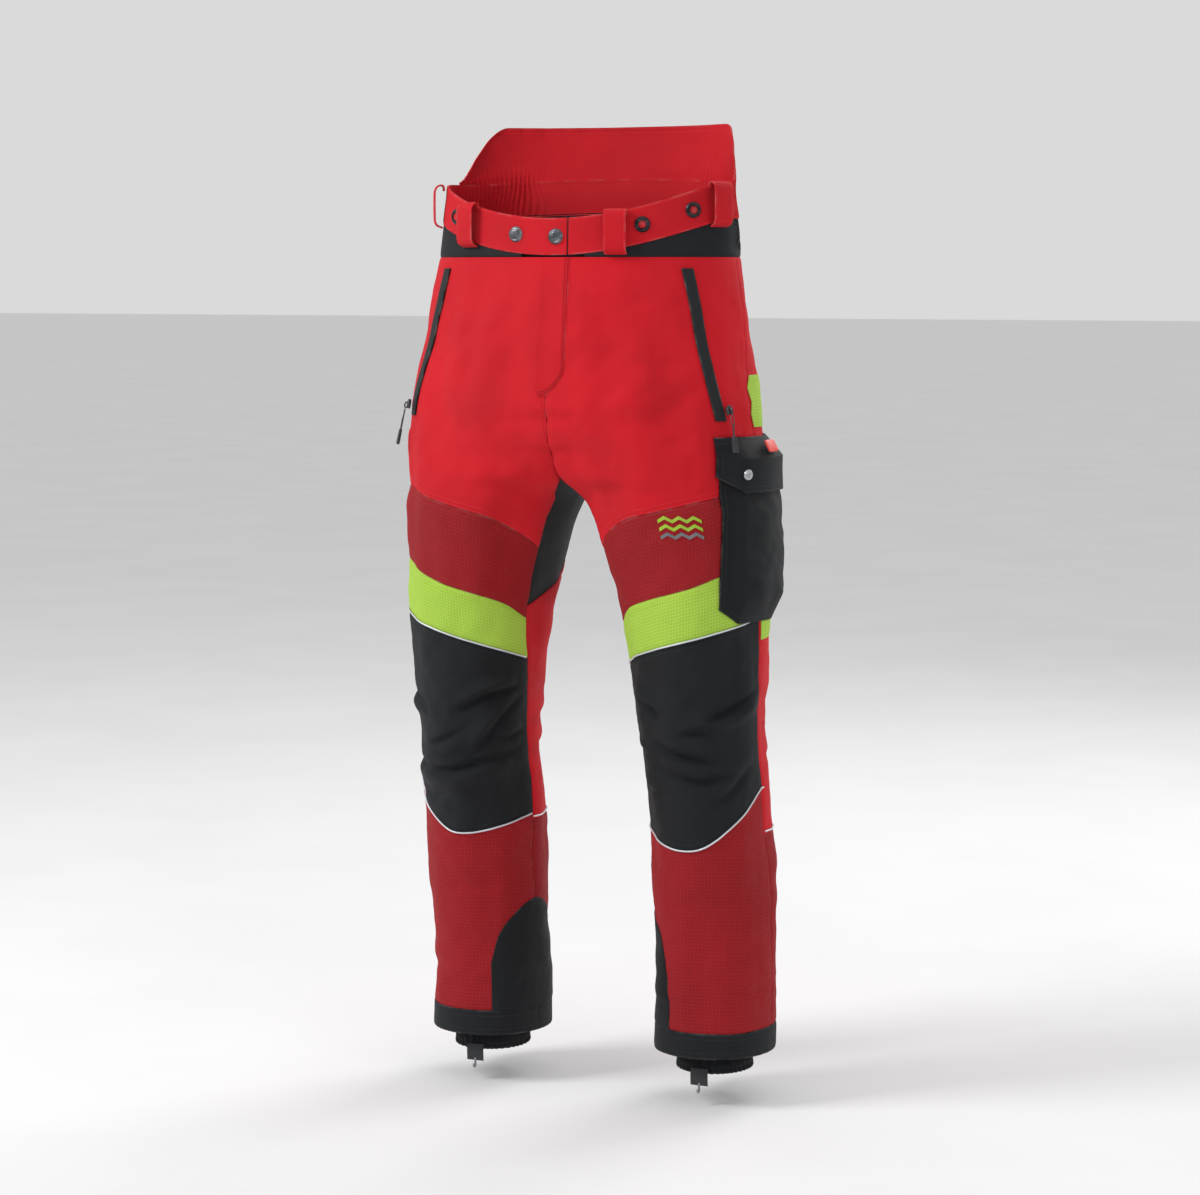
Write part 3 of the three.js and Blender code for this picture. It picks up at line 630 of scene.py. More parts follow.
# %% Cloth colours
BRIGHT_RED, DEEP_RED = linear(212, 16, 34), linear(150, 8, 22)
red_softshell = woven("red_softshell", BRIGHT_RED, DEEP_RED, "twill", 0.0011, rough=0.78, sheen=0.15)
BLACK, DEEP_BLACK = linear(22, 25, 29), linear(11, 13, 15)
red_ripstop = woven("red_ripstop", linear(152, 18, 27), linear(108, 10, 17), "plain", 0.0010,
                    (0.0046, 0.0009), linear(168, 34, 42), sheen=0.1)
lime_mesh = woven("lime_mesh", linear(162, 202, 58), linear(120, 168, 34), "plain", 0.0012,
                  (0.0040, 0.0012), linear(190, 216, 104), sheen=0.05, wear=0.05)
black_canvas = woven("black_canvas", BLACK, DEEP_BLACK, "plain", 0.0013, rough=0.7, sheen=0.12,
                     depth=0.0002, thread_colour=linear(38, 42, 46))
black_stretch = woven("black_stretch", BLACK, DEEP_BLACK, "twill", 0.0012, rough=0.68, sheen=0.15)
black_pocket = woven("black_pocket", linear(21, 24, 27), linear(10, 12, 14), "twill", 0.0014, rough=0.7,
                     sheen=0.12, thread_colour=linear(40, 44, 48))
dark_liner = woven("dark_liner", linear(40, 42, 46), linear(22, 23, 26), "plain", 0.0016,
                   (0.0028, 0.0009), linear(64, 66, 70), sheen=0.2)
pad_fibre = woven("pad_fibre", linear(214, 210, 196), linear(176, 170, 150), "plain", 0.002, sheen=0.5,
                  fuzz=1.0)
red_band = woven("red_band", BRIGHT_RED, DEEP_RED, "twill", 0.0010, rough=0.76, sheen=0.15, rows=(2.4,))
print(len(bpy.data.materials), "materials so far")

# %% [markdown]
# ## Putting pieces on the frame
# Each piece moves with one body of the CAD model, except the pieces near the knee. The knee is a
# hinge, and real cloth bends over a stretch round it. The pieces near the knee are not attached to
# any body: their transform is only baked into their points, so they stay where they are made.


def wear_on(piece, material, nodes=(), body="torso", bend=None):
    """Gives a piece its material, its place on the frame, and the CAD nodes that it stands for."""
    piece.data.materials.append(material)
    if bend is None:
        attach(piece, body)
    else:
        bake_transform(piece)
    if nodes:
        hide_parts(*nodes)
    return piece


# %% [markdown]
# ## The outer cloth
# From the waist down each leg has a bright front panel, a dark ripstop panel, the high-visibility
# band, the black knee and a dark ripstop shin, with the back of the trousers in two more panels.
# They all come from the one panel function, so a list of edges is all that each one needs.

# %% Leg panels
for word, side in SIDES.items():
    front = dict(side=side, inner=inner_seam, outer=outer_seam, start="r")
    behind = dict(side=side, inner=outer_seam, outer=back_inner)
    wear_on(cloth(f"front_cloth_{word}", side, front_inner, outer_seam, thigh_seam, level(WAIST_SEAM),
                  sewn="lb", start="r"),
            red_softshell, [f"front_panel_{word}"])
    wear_on(cloth(f"thigh_cloth_{word}", **front, low=hivis_top, high=thigh_seam, sewn="tb"),
            red_ripstop, [f"thigh_panel_{word}"])
    wear_on(cloth(f"hivis_cloth_{word}", **front, low=hivis_low, high=hivis_top, sewn="t"),
            lime_mesh, [f"hivis_band_{word}"], bend=word)
    wear_on(cloth(f"knee_cloth_{word}", **front, low=knee_low, high=hivis_low, sewn="tb", step=3.0),
            black_canvas, [f"knee_panel_{word}"], bend=word)
    wear_on(cloth(f"shin_cloth_{word}", **front, low=level(HEM_BAND), high=knee_low, sewn="tl"),
            red_ripstop, [f"shin_panel_{word}"], bend=word)
    wear_on(cloth(f"seat_cloth_{word}", **behind, low=level(BACK_SEAM), high=level(WAIST_SEAM), sewn="r"),
            red_softshell, [f"seat_panel_{word}"])
    wear_on(cloth(f"back_leg_cloth_{word}", **behind, low=level(SHANK_TOP), high=level(BACK_SEAM), sewn="b"),
            red_softshell, [f"back_leg_panel_{word}"], bend=word)
    wear_on(cloth(f"calf_cloth_{word}", **behind, low=level(HEM_BAND), high=level(SHANK_TOP), sewn="t"),
            red_ripstop, [f"calf_panel_{word}"], bend=word)
    wear_on(cloth(f"ankle_cloth_{word}", side, level(-127), level(-26), level(HEM_BAND - 0.5),
                  patch_top, out=1.6, sewn="lrt", thick=1.2),
            black_canvas, [f"ankle_patch_{word}"], bend=word)

# %% [markdown]
# ## The waist
# A black stretch cloth fills the gap below the waistband, deepest at the sides and behind. The
# waistband itself is a stiff folded strip, gathered by elastic towards the back, and above it the
# kidney yoke stands up behind. These go right round the body, so one function makes all three.

# %% Stretch insert, waistband and kidney yoke
WAY_ROUND = -1e9  # a reach that lets a piece cross the middle of the body
INSERT_EDGE = WAIST_SEAM + 2  # where the insert comes out from under the panels


def round_waist(name, start, end, low, high, out, thick, sewn, extra, step=2.6, roll=0.5):
    """A band from one angle to another, standing off by out plus extra(angle, height, points)."""
    angle, height = panel_places(level(start), level(end), low, high, step)
    flat = on_body(LEFT, angle, height, out, WAY_ROUND)
    _, _, edge, _, _ = edge_fields(flat, sewn)
    stand = out + extra(angle, height, flat / MM) - roll * np.exp(-((edge / 1.8) ** 2))
    return body_shell(name, LEFT, angle, height, stand, thick, sewn, WAY_ROUND)


def gathers(angle, height, points):
    """Elastic gathers: fine pleats, about 8 mm apart, between the side seams and the back. They are
    the same at every height, which is given only because all three fold functions take it."""
    behind = np.abs(angle - 180)
    where = np.clip((96 - behind) / 12, 0, 1) * np.clip((behind - 26) / 16, 0, 1)
    beat = 2 * np.pi * (3.4 * angle / 8.5 + 0.5 * waves(points, 60, 41))
    return 1.1 * where * np.sin(beat) + 0.5 * waves(points, 70, 43)


def yoke_folds(angle, height, points):
    """Soft folds that grow towards the yoke's free top edge, and its three upright seams."""
    free = np.clip((height - band_top(angle)) / 70, 0, 1)
    seams = sum(np.exp(-(((angle - at) * 3.3 / 1.3) ** 2)) for at in (135.5, 145, 180, 215, 224.5))
    soft = (2.6 * waves(points, 120, 47) + 0.8 * waves(points, 38, 48)) * free
    return soft - 0.7 * seams * free + gathers(angle, height, points) * (1 - np.minimum(1, 3 * free))


def tucked(angle, height, points):
    """The insert has the band's gathers, and slips under the panels along its lower edge."""
    above = np.clip((height - INSERT_EDGE) / 12, 0, 1)
    return gathers(angle, height, points) * above - 1.9 * np.clip((INSERT_EDGE - height) / 3, 0, 1)


black_rib = woven("black_rib", linear(23, 26, 30), linear(10, 12, 14), "plain", 0.0022, rough=0.72,
                  sheen=0.15)
wear_on(round_waist("stretch_cloth", 12.2, 347.8, level(WAIST_SEAM - 4), lambda a: band_low(a) + 3,
                    0.1, CLOTH, "", tucked),
        black_rib, ["stretch_insert"])
wear_on(round_waist("waistband_cloth", BAND_END + 0.3, BAND_END + 359.7, band_low, band_top,
                    1.5, 3.0, "bt", gathers),
        red_band, ["waistband"])
wear_on(round_waist("kidney_yoke_cloth", 97.6, 262.4, lambda a: band_top(a) - 2, yoke_top,
                    1.1, 2.0, "t", yoke_folds),
        red_softshell, ["kidney_yoke"])

# %% [markdown]
# ## Hardware seats and small closed pieces
# A stud, loop or zip pull is easiest to shape about its own origin: x round the body, y up and z
# out of the cloth. A seat is that small frame, standing at its place on the body. A strap is a line
# carried across its width, a turned piece is a profile carried round an axis, and a tube is a ring
# carried along a path. All three are closed, and Blender turns their faces outwards at the end.

# %% Seats, straps, turned pieces, tubes and plates
def unit(v):
    return v / np.linalg.norm(v, axis=-1, keepdims=True)


class Seat:
    """A small frame on the body: an origin in metres and its three directions."""

    def __init__(self, origin, across, up, out):
        self.origin, self.axes = np.asarray(origin), np.stack([across, up, out])

    def __call__(self, points):
        """Points in millimetres in the seat's own directions, as metres on the garment."""
        return self.origin + (np.asarray(points, float) * MM) @ self.axes

    def moved(self, x, y, z):
        return Seat(self((x, y, z)), *self.axes)

    def tipped(self, turn):
        """The same seat turned about its own x, by an angle in radians."""
        x, y, z = self.axes
        cosine, sine = np.cos(turn), np.sin(turn)
        return Seat(self.origin, x, y * cosine + z * sine, z * cosine - y * sine)


def seat(side, angle, height, out):
    origin = on_body(side, angle, height, out, WAY_ROUND)
    outward = unit(on_body(side, angle, height, out + 1, WAY_ROUND) - origin)
    upward = np.array([0.0, 0.0, 1.0])
    return Seat(origin, np.cross(upward, outward), upward, outward)


def smooth_path(points, count):
    """Count points on a smooth curve through a short list of points."""
    points = np.asarray(points, float)
    at = np.linspace(0, len(points) - 1, count)
    rows = np.column_stack([np.arange(len(points)), points])
    return np.stack([curve(rows, at, c + 1) for c in range(points.shape[1])], -1)


def closed_piece(name, vertices, faces, sharp=40):
    """A piece from points and lists of faces, with every face turned outwards."""
    mesh = bpy.data.meshes.new(name)
    mesh.from_pydata(np.asarray(vertices).tolist(), [], faces)
    work = bmesh.new()
    work.from_mesh(mesh)
    bmesh.ops.recalc_face_normals(work, faces=work.faces)
    work.to_mesh(mesh)
    work.free()
    return add_piece(name, mesh, sharp)


def rings_piece(name, rings):
    """Rings of points joined into a closed tube, with a fan of triangles over each end."""
    count, around = rings.shape[:2]
    index = np.arange(count * around).reshape(count, around)
    index = np.concatenate([index, index[:, :1]], 1)
    sides = np.stack([index[:-1, :-1], index[:-1, 1:], index[1:, 1:], index[1:, :-1]], -1)
    first, last = count * around, count * around + 1
    fans = [np.stack([np.full(around, first), index[0, 1:], index[0, :-1]], 1),
            np.stack([np.full(around, last), index[-1, :-1], index[-1, 1:]], 1)]
    vertices = np.concatenate([rings.reshape(-1, 3), rings[[0, -1]].mean(1)])
    faces = sides.reshape(-1, 4).tolist() + fans[0].tolist() + fans[1].tolist()
    return closed_piece(name, vertices, faces)


def turned(name, at, profile, around=48):
    """A profile of (radius, height) turned about a seat's z: x is radius times cosine, y times sine."""
    profile = np.asarray(profile, float)
    turn = np.linspace(0, 2 * np.pi, around, endpoint=False)
    ring = np.stack([np.cos(turn), np.sin(turn), 0 * turn], -1)
    rings = profile[:, :1, None] * ring[None] + profile[:, 1, None, None] * np.array([0, 0, 1.0])
    return rings_piece(name, at(rings))


def tube(name, path, radius, facing, around=10):
    """A round tube along a path in metres: at each point a ring in the plane across the path."""
    path = np.asarray(path, float)
    along = unit(np.gradient(path, axis=0))
    one = unit(np.cross(along, np.broadcast_to(facing, path.shape)))
    two = np.cross(along, one)
    turn = np.linspace(0, 2 * np.pi, around, endpoint=False)
    ring = np.cos(turn)[None, :, None] * one[:, None] + np.sin(turn)[None, :, None] * two[:, None]
    return rings_piece(name, path[:, None] + ring * radius * MM)


def strap(name, at, path, wide, thick, sewn="lr", bow=0.0):
    """A strap: a line of (out, up) carried across a width, thick to both sides of that line."""
    line = smooth_path(path, 56)
    along = unit(np.gradient(line, axis=0))
    u = np.linspace(-1, 1, 15)
    half = thick / 2 * (1 - 0.35 * np.abs(u) ** 6)
    shape = []
    for sign in (1, -1):
        out = line[:, :1] + sign * along[:, 1:] * half + bow * (1 - u**2)
        up = line[:, 1:] - sign * along[:, :1] * half
        shape.append(at(np.stack([np.broadcast_to(u * wide / 2, out.shape), up, out], -1)))
    return shell(name, *shape, sewn=sewn)


def rounded(wide, tall, corner, steps=6):
    """The outline of a rectangle with round corners, as points anticlockwise."""
    turn = np.linspace(0, np.pi / 2, steps)
    arc = corner * np.stack([np.cos(turn), np.sin(turn)], -1)
    x, y = wide / 2 - corner, tall / 2 - corner
    spin = [np.array([[c, s], [-s, c]]) for c, s in ((1, 0), (0, 1), (-1, 0), (0, -1))]
    middles = [(x, y), (-x, y), (-x, -y), (x, -y)]
    return np.concatenate([arc @ s + m for s, m in zip(spin, middles)])


def plate(name, at, outline, thick, edge=0.5):
    """A flat plate with softened edges: its outline, drawn in by a quarter circle at both faces."""
    outline = np.asarray(outline, float)
    middle = outline.mean(0)
    reach = np.linalg.norm(outline - middle, axis=1).max()
    turn = np.linspace(0, np.pi / 2, 4)
    draw_in = edge * (1 - np.cos(turn)) / reach
    low = edge * (1 - np.sin(turn))
    shrink = np.concatenate([draw_in[::-1], draw_in])
    level_at = np.concatenate([low[::-1], thick - low])
    order = np.argsort(level_at, kind="stable")
    rings = middle + (outline - middle)[None] * (1 - shrink[order])[:, None, None]
    z = np.broadcast_to(level_at[order][:, None, None], rings.shape[:2] + (1,))
    return rings_piece(name, at(np.concatenate([rings, z], -1)))


print("tools for small pieces ready")

# %% [markdown]
# ## Metal, rubber and tape
# The studs and sliders are a dark, lacquered metal. It is worn paler where it is rubbed, which the
# noise and the edges of the shape give. Grips and the side tag are matt moulded rubber.

# %% Hard materials
def hard(name, colour, worn, rough, metal=1.0, scale=120.0):
    """A hard surface: a base colour, paler rubbed patches, and a roughness that varies with them."""
    recipe = Recipe(name, rough, metal)
    patch = recipe.ramp(recipe.noise(scale, 4.0), 0.35, 0.75)
    edge = recipe.ramp(recipe.step("ShaderNodeNewGeometry").outputs["Pointiness"], 0.5, 0.6)
    base = recipe.mix(recipe.math("MAXIMUM", recipe.times(patch, 0.5), edge), colour, worn)
    varied = recipe.ramp(patch, 0.0, 1.0, rough * 0.8, rough * 1.25)
    recipe.tree.links.new(varied, recipe.shader.inputs["Roughness"])
    grain = recipe.times(recipe.noise(2600.0, 2.0), 0.00006)
    return recipe.finish(base, grain)


def tape(name, colour, shade, pitch):
    """Herringbone tape: a triangle wave across shifts a sine along, so its ribs lean to and fro. The hollows
    between the ribs get painted shade.
    """
    recipe = Recipe(name, 0.75, sheen=0.3)
    u, v, _ = recipe.place()
    lean = recipe.math("PINGPONG", u, 0.0025)
    slanted = recipe.plus(v, recipe.times(lean, 1.2))
    rib = recipe.math("SINE", recipe.times(slanted, 2 * np.pi / pitch))
    # Painted shade: the hollows of the ribs take the shade colour, and their tops take the tape's colour.
    base = recipe.mix(recipe.ramp(rib, -0.8, 0.8), shade, colour)
    base = recipe.mix(recipe.ramp(recipe.noise(900.0), 0.4, 0.8, 0.0, 0.2), base, linear(90, 92, 96))
    return recipe.finish(base, recipe.times(rib, 0.00012))


gunmetal = hard("gunmetal", linear(86, 90, 96), linear(170, 174, 178), 0.3)
black_lacquer = hard("black_lacquer", linear(30, 32, 35), linear(96, 98, 102), 0.35, 0.8)
bright_steel = hard("bright_steel", linear(168, 170, 174), linear(212, 214, 216), 0.25)
matt_rubber = hard("matt_rubber", linear(26, 28, 31), linear(58, 60, 64), 0.6, 0.0, 300.0)
tag_rubber = hard("tag_rubber", linear(222, 54, 46), linear(236, 98, 84), 0.5, 0.0, 200.0)
black_tape = tape("black_tape", linear(36, 38, 42), linear(14, 15, 17), 0.0016)
grey_webbing = tape("grey_webbing", linear(48, 50, 54), linear(18, 19, 21), 0.0022)
reflective_grey = hard("reflective_grey", linear(186, 190, 196), linear(214, 216, 220), 0.45, 0.3, 500.0)
print(len(bpy.data.materials), "materials so far")

# %% [markdown]
# ## Belt loops and studs
# Each belt loop is a folded strip sewn down above and below the belt's channel. The two dome studs
# close the waistband. The ring studs have a sunk centre: the braces' studs press into them.

# %% Loops and studs on the waistband
LOOPS = {
    "belt_loop_front_left": (LEFT, 24), "belt_loop_front_right": (RIGHT, 38),
    "belt_loop_side_left": (LEFT, 73), "belt_loop_side_right": (RIGHT, 73),
}
# Outlines in millimetres: (out, up) for the loop, (radius, height) for the studs.
LOOP_LINE = [(-0.6, 0), (1.2, 1.2), (5.8, 3.2), (8.6, 8), (9.1, 16), (9.1, 39), (8.5, 47), (5.8, 52),
             (2.0, 54.0), (-1.4, 53.6), (-2.8, 50.5), (-2.9, 47)]
DOME = [(0.3, 3.6), (4.6, 3.5), (5.6, 3.2), (5.9, 2.7), (6.5, 2.7), (7.4, 2.9), (8.4, 2.4), (9.2, 1.5),
        (9.4, 0.8), (9.1, 0.1), (0.3, 0)]
RING = [(0.3, 1.25), (2.2, 1.25), (2.5, 1.9), (3.0, 1.9), (3.3, 1.25), (4.7, 1.3), (5.1, 1.8),
        (5.3, 2.9), (6.0, 3.3), (7.0, 3.2), (8.4, 2.5), (9.3, 1.4), (9.4, 0.7), (9.1, 0.1), (0.3, 0)]
CENTRE = [(0.3, 1.75), (3.4, 1.8), (4.4, 1.6), (4.7, 1.0), (0.3, 1.0)]
STUDS = {
    "waist_stud_centre": (RIGHT, -1.5, DOME), "waist_stud_side": (RIGHT, 14.6, DOME),
    "brace_stud_front": (LEFT, 34.5, RING), "brace_stud_side": (LEFT, 57.6, RING),
    "brace_stud_right": (RIGHT, 49, RING),
}
for name, (side, angle) in LOOPS.items():
    at = seat(side, angle, float(band_low(angle)) - 6, 1.5)
    wear_on(strap(name + "_strap", at, LOOP_LINE, 28, 2.2, bow=0.5), red_band, [name])
for name, (side, angle, profile) in STUDS.items():
    at = seat(side, angle, float(band_low(angle)) + BAND_TALL / 2, 2.7)
    metal = gunmetal if profile is DOME else black_lacquer
    wear_on(turned(name + "_metal", at, smooth_path(profile, 44)), metal, [name])
    if profile is RING:
        wear_on(turned(name + "_centre", at, smooth_path(CENTRE, 16)), red_band)
print("loops and studs", len(LOOPS) + len(STUDS))

# %% [markdown]
# ## The fly
# The left front folds over the right and is stitched down in the shape of a J. Behind it the zip
# has a tape, teeth and a slider. Teeth repeat by the dozen, so all of one zip's teeth are one mesh:
# a small tooth's eight corners, copied along the rail with one array sum.

# %% Fly placket, zip tape, teeth and slider
def front_place(x, height):
    """The angle on the left leg's ellipse that lies x mm from the middle of the body."""
    centre, wide = curve(SECTIONS, height), curve(SECTIONS, height, 2)
    return np.degrees(np.arcsin((np.abs(x) - centre) / wide))


def front_point(x, height, out):
    points = on_body(LEFT, front_place(x, height), height, out, WAY_ROUND)
    points[..., 0] = x * MM
    return points


def front_shell(name, x, height, out, thick, sewn, roll=0.0):
    """A shell near the centre front, from grids of x and height, draped as the front panels are."""
    _, _, _, sewn_edge, _ = edge_fields(front_point(x, height, out), sewn)
    stand = out + drape(LEFT, front_place(x, height), height) - roll * np.exp(-((sewn_edge / 3.5) ** 2))
    return shell(name, front_point(x, height, stand), front_point(x, height, stand - thick), sewn=sewn)


def teeth(name, start, end, outward, gap=1.6, size=(3.6, 0.95, 1.1), stagger=1.1):
    """A zip's teeth: one rounded block, copied every gap along a line, set left and right by turns."""
    length = np.linalg.norm(end - start) / MM
    along = (end - start) / np.linalg.norm(end - start)
    outward = unit(outward - along * np.dot(outward, along))
    across = np.cross(along, outward)
    corners = np.array([(x, y, z) for z in (-1, 1) for y in (-1, 1) for x in (-1, 1)]) / 2 * size
    corners[4:, :2] *= 0.8
    block = corners @ np.stack([across, along, outward])
    at = np.arange(0, length, gap)
    turns = np.where(np.arange(len(at)) % 2, 1, -1)[:, None] * stagger * across
    vertices = start + (block[None] + (at[:, None] * along + turns)[:, None]) * MM
    one = np.array([(0, 2, 3, 1), (4, 5, 7, 6), (0, 1, 5, 4), (2, 6, 7, 3), (0, 4, 6, 2), (1, 3, 7, 5)])
    faces = (one[None] + 8 * np.arange(len(at))[:, None, None]).reshape(-1, 4)
    return make_mesh(name, vertices.reshape(-1, 3), faces, sharp=20)


u, v = grid(15, 58)
low = 838 + 30 * u * u
height = low + (WAIST_SEAM - 0.4 - low) * v
red_placket = woven("red_placket", BRIGHT_RED, DEEP_RED, "twill", 0.0011, rough=0.78, sheen=0.15,
                    rows=(2.4, 6.4), thread_colour=linear(128, 8, 20))
wear_on(front_shell("fly_placket_cloth", -9 + 34 * u, height, 2.3, 1.4, "rb", 2.0),
        red_placket, ["fly_placket"])

u, v = np.meshgrid(np.linspace(-1, 1, 13), np.linspace(0, 1, 60))
wear_on(front_shell("fly_zip_tape", 12 * u, 850 + 153 * v, -7.4, 1.2, "lr"),
        black_tape, ["fly_zip"])
rail = front_point(np.zeros(2), np.array([852.0, 989.0]), np.full(2, -6.7))
wear_on(teeth("fly_zip_teeth", rail[0], rail[1], np.array([0, -1.0, 0])), gunmetal)
fly_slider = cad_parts["fly_slider"]
fly_slider.data.materials.clear()
fly_slider.data.materials.append(gunmetal)

# %% [markdown]
# ## Hand pockets
# Each pocket opening is a slanted zip under a black, smooth welt, which keeps sawdust out. The zip
# slides on a straight rail beside the welt. Its pull is a wire link, a short knotted cord and a
# moulded grip that can be held in gloves, all hanging from the slider.

# %% Welts, sliders and pulls
ZIP_TOP, ZIP_LOW = (57, 990), (65, 818)
RAIL_OUT, PULL_LEAN = 5.8, 0.22
# Outlines in millimetres, in the slider's seat (shield, bail) and in the pull's (link, cord, grip).
SHIELD = [(-4.4, 0.4), (-3.6, 0), (3.6, 0), (4.4, 0.4), (4.5, 5), (3.9, 8.2), (1.6, 11), (0, 11.8),
          (-1.6, 11), (-3.9, 8.2), (-4.5, 5)]
BAIL = [(0, 0.5, 3.4), (0, 0.3, 5.4), (0, 1.4, 6.8), (0, 4.2, 7.0), (0, 6.8, 6.2), (0, 7.6, 3.4)]
LINK = [(-1.2, -11, 0), (-2.1, -8, 0), (-2.1, -2, 0), (-1.3, 0.2, 0), (0, 0.7, 0), (1.3, 0.2, 0),
        (2.1, -2, 0), (2.1, -8, 0), (1.2, -11, 0)]
CORD = [(0, -10.2, 0), (0.3, -13, 0.3), (-0.2, -20, 0), (0, -27, 0)]
GRIP = [(-2.3, -25.6), (2.3, -25.6), (3.0, -29), (4.2, -38), (4.5, -43.6), (3.4, -45.8),
        (-3.4, -45.8), (-4.5, -43.6), (-4.2, -38), (-3.0, -29)]
black_welt = woven("black_welt", linear(24, 27, 30), linear(13, 14, 16), "plain", 0.0008, rough=0.55,
                   sheen=0.15, rows=(1.6,), fuzz=0.2, depth=0.00005)


def welt(word, side):
    u, v = grid(13, 80)
    height = ZIP_LOW[1] - 8 + (ZIP_TOP[1] - ZIP_LOW[1] + 14) * v
    wide = np.degrees(16 / curve(SECTIONS, height, 2)) * 1.25
    angle = ZIP_LOW[0] + (ZIP_TOP[0] - ZIP_LOW[0]) * v - 1.2 - wide * (1 - u)
    out = 3.1 + drape(side, angle, height) - 0.7 * np.abs(2 * u - 1) ** 8
    return body_shell(f"pocket_welt_cloth_{word}", side, angle, height, out, 2.0, "lr")


def rail_seat(side):
    """The seat of a pocket's slider: y along the rail from its low end, z out of the cloth."""
    low, high = (on_body(side, *place, RAIL_OUT) for place in (ZIP_LOW, ZIP_TOP))
    outward = on_body(side, *ZIP_LOW, RAIL_OUT + 1) - low
    along = unit(high - low)
    across = unit(np.cross(along, outward))
    return Seat(low, across, along, np.cross(across, along)), unit(outward)


def pull_seat(at, outward):
    """The seat that a pull hangs from: y points up along it, leaning back into the cloth a little."""
    up = unit(np.array([-outward[0] * PULL_LEAN, -outward[1] * PULL_LEAN, 1.0]))
    across = np.cross(up, outward)
    across[2] = 0
    across = unit(across)
    return Seat(at((0, -2.2, 5.5)), across, up, np.cross(across, up))


for word, side in SIDES.items():
    wear_on(welt(word, side), black_welt, [f"pocket_welt_{word}"])
    at, outward = rail_seat(side)
    body = f"zip_slider_{word}"
    wear_on(plate(f"slider_body_{word}", at, SHIELD, 4.0, 0.9),
            black_lacquer, [body], body)
    wear_on(tube(f"slider_bail_{word}", smooth_path(at(BAIL), 26), 0.9, at.axes[0]),
            black_lacquer, body=body)
    hang = pull_seat(at, outward)
    body = f"zip_pull_{word}"
    wear_on(tube(f"pull_link_{word}", hang(smooth_path(LINK, 40)), 0.55, hang.axes[2], 8),
            black_lacquer, [body], body)
    wear_on(tube(f"pull_cord_{word}", hang(smooth_path(CORD, 30)), 1.15, hang.axes[2]),
            matt_rubber, body=body)
    wear_on(plate(f"pull_grip_{word}", hang.moved(0, 0, -1.6), GRIP, 3.2, 1.0),
            matt_rubber, body=body)
print("slider sits", np.round(rail_seat(LEFT)[0].origin, 3))

# %% [markdown]
# ## The cargo pocket
# The pocket on the left thigh stands off the leg on bellows, so that it holds a dressing pack. Its
# flap is sewn on above the mouth and lifts. The bag is a panel whose distance from the leg rises
# quickly at its sides and stays level between, with a slight sag, and the flap is the same shape
# a little further out. The flap bends over its top few millimetres, like a stiff folded cloth.

# %% Cargo pocket, flap and tag
CARGO = {"front": -82, "back": 82, "low": 560, "mouth": 760, "hinge": 764, "flap_top": 790,
         "flap_low": 722, "depth": 15}
FLAP_OVER = 4  # mm that the flap reaches past the bag at each side
STUD_Y, STUD_HEIGHT = -60, 745


def rise(u, width):
    """From 0 at both ends of u to 1 inside a width, as a smooth step."""
    t = np.clip(np.minimum(u, 1 - u) / width, 0, 1)
    return t * t * (3 - 2 * t)


def angle_at_y(height, y):
    """The angle at which the leg's outer side reaches a place y front to back."""
    front, back, shift = (curve(SECTIONS, height, c) for c in (3, 4, 5))
    deep = np.where(y < shift, front, back)
    return np.degrees(np.arccos(np.clip((shift - y) / deep, -1, 1)))


def side_shell(name, y, height, out, thick, sewn):
    angle = angle_at_y(height, y)
    return body_shell(name, LEFT, angle, height, out, thick, sewn)


u, v = grid(64, 72)
corner = 18 * np.clip(1 - 8 * np.minimum(u, 1 - u), 0, 1)
height = CARGO["low"] + corner + (CARGO["mouth"] - CARGO["low"] - corner) * v
y = CARGO["front"] + (CARGO["back"] - CARGO["front"]) * u
off_leg = drape(LEFT, angle_at_y(height, y), height)
place = np.stack([y, height, 0 * y], -1)
sag = 1.6 * waves(place, 70, 61) + 0.5 * waves(place, 24, 62)
opening = np.minimum(1, 6 * v)  # the bag leaves the leg within its lowest sixth
full = rise(u, 0.14) * opening
pleat = -2.2 * np.exp(-(((np.minimum(u, 1 - u) - 0.055) / 0.016) ** 2)) * opening
stand = 2.4 + off_leg * (1 - 0.6 * full) + (CARGO["depth"] - 1) * full
stand = stand + (sag + pleat) * full**0.3 * opening * 0.8
wear_on(side_shell("cargo_bag_cloth", y, height, stand, CLOTH, "lrb"),
        black_pocket, ["cargo_pocket"])


def flap_out(u):
    return 5.6 + CARGO["depth"] * rise(u, 0.16)


def flap_y(u):
    return CARGO["front"] - FLAP_OVER + (CARGO["back"] - CARGO["front"] + 2 * FLAP_OVER) * u


u, v = grid(66, 12)
y = flap_y(u)
height = CARGO["hinge"] + 0.2 + (CARGO["flap_top"] - CARGO["hinge"]) * v
stand = flap_out(u) * (1 - v) + 3.0 * v + 0.5 * drape(LEFT, angle_at_y(height, y), height) * v
wear_on(side_shell("cargo_flap_base_cloth", y, height, stand, CLOTH, "t"),
        black_pocket, ["cargo_flap_base"])
u, v = grid(66, 26)
y = flap_y(u)
corner = 20 * np.clip(1 - 7 * np.minimum(u, 1 - u), 0, 1)
height = CARGO["flap_low"] + corner + (CARGO["hinge"] + 0.6 - CARGO["flap_low"] - corner) * v
curl = 1.0 * waves(np.stack([y, height, 0 * y], -1), 60, 64) * (1 - v)
flap = side_shell("cargo_flap_cloth", y, height, flap_out(u) + curl, CLOTH + 0.6, "lrb")
flap.data.materials.append(black_pocket)
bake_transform(flap)
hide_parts("cargo_flap")
at = seat(LEFT, float(angle_at_y(STUD_HEIGHT, STUD_Y)), STUD_HEIGHT, 20.4)
small_ring = [(0.3, 0.6), (2.6, 0.7), (3.1, 1.8), (4.6, 2.0), (6.2, 1.4), (6.6, 0.5), (6.3, 0), (0.3, 0)]
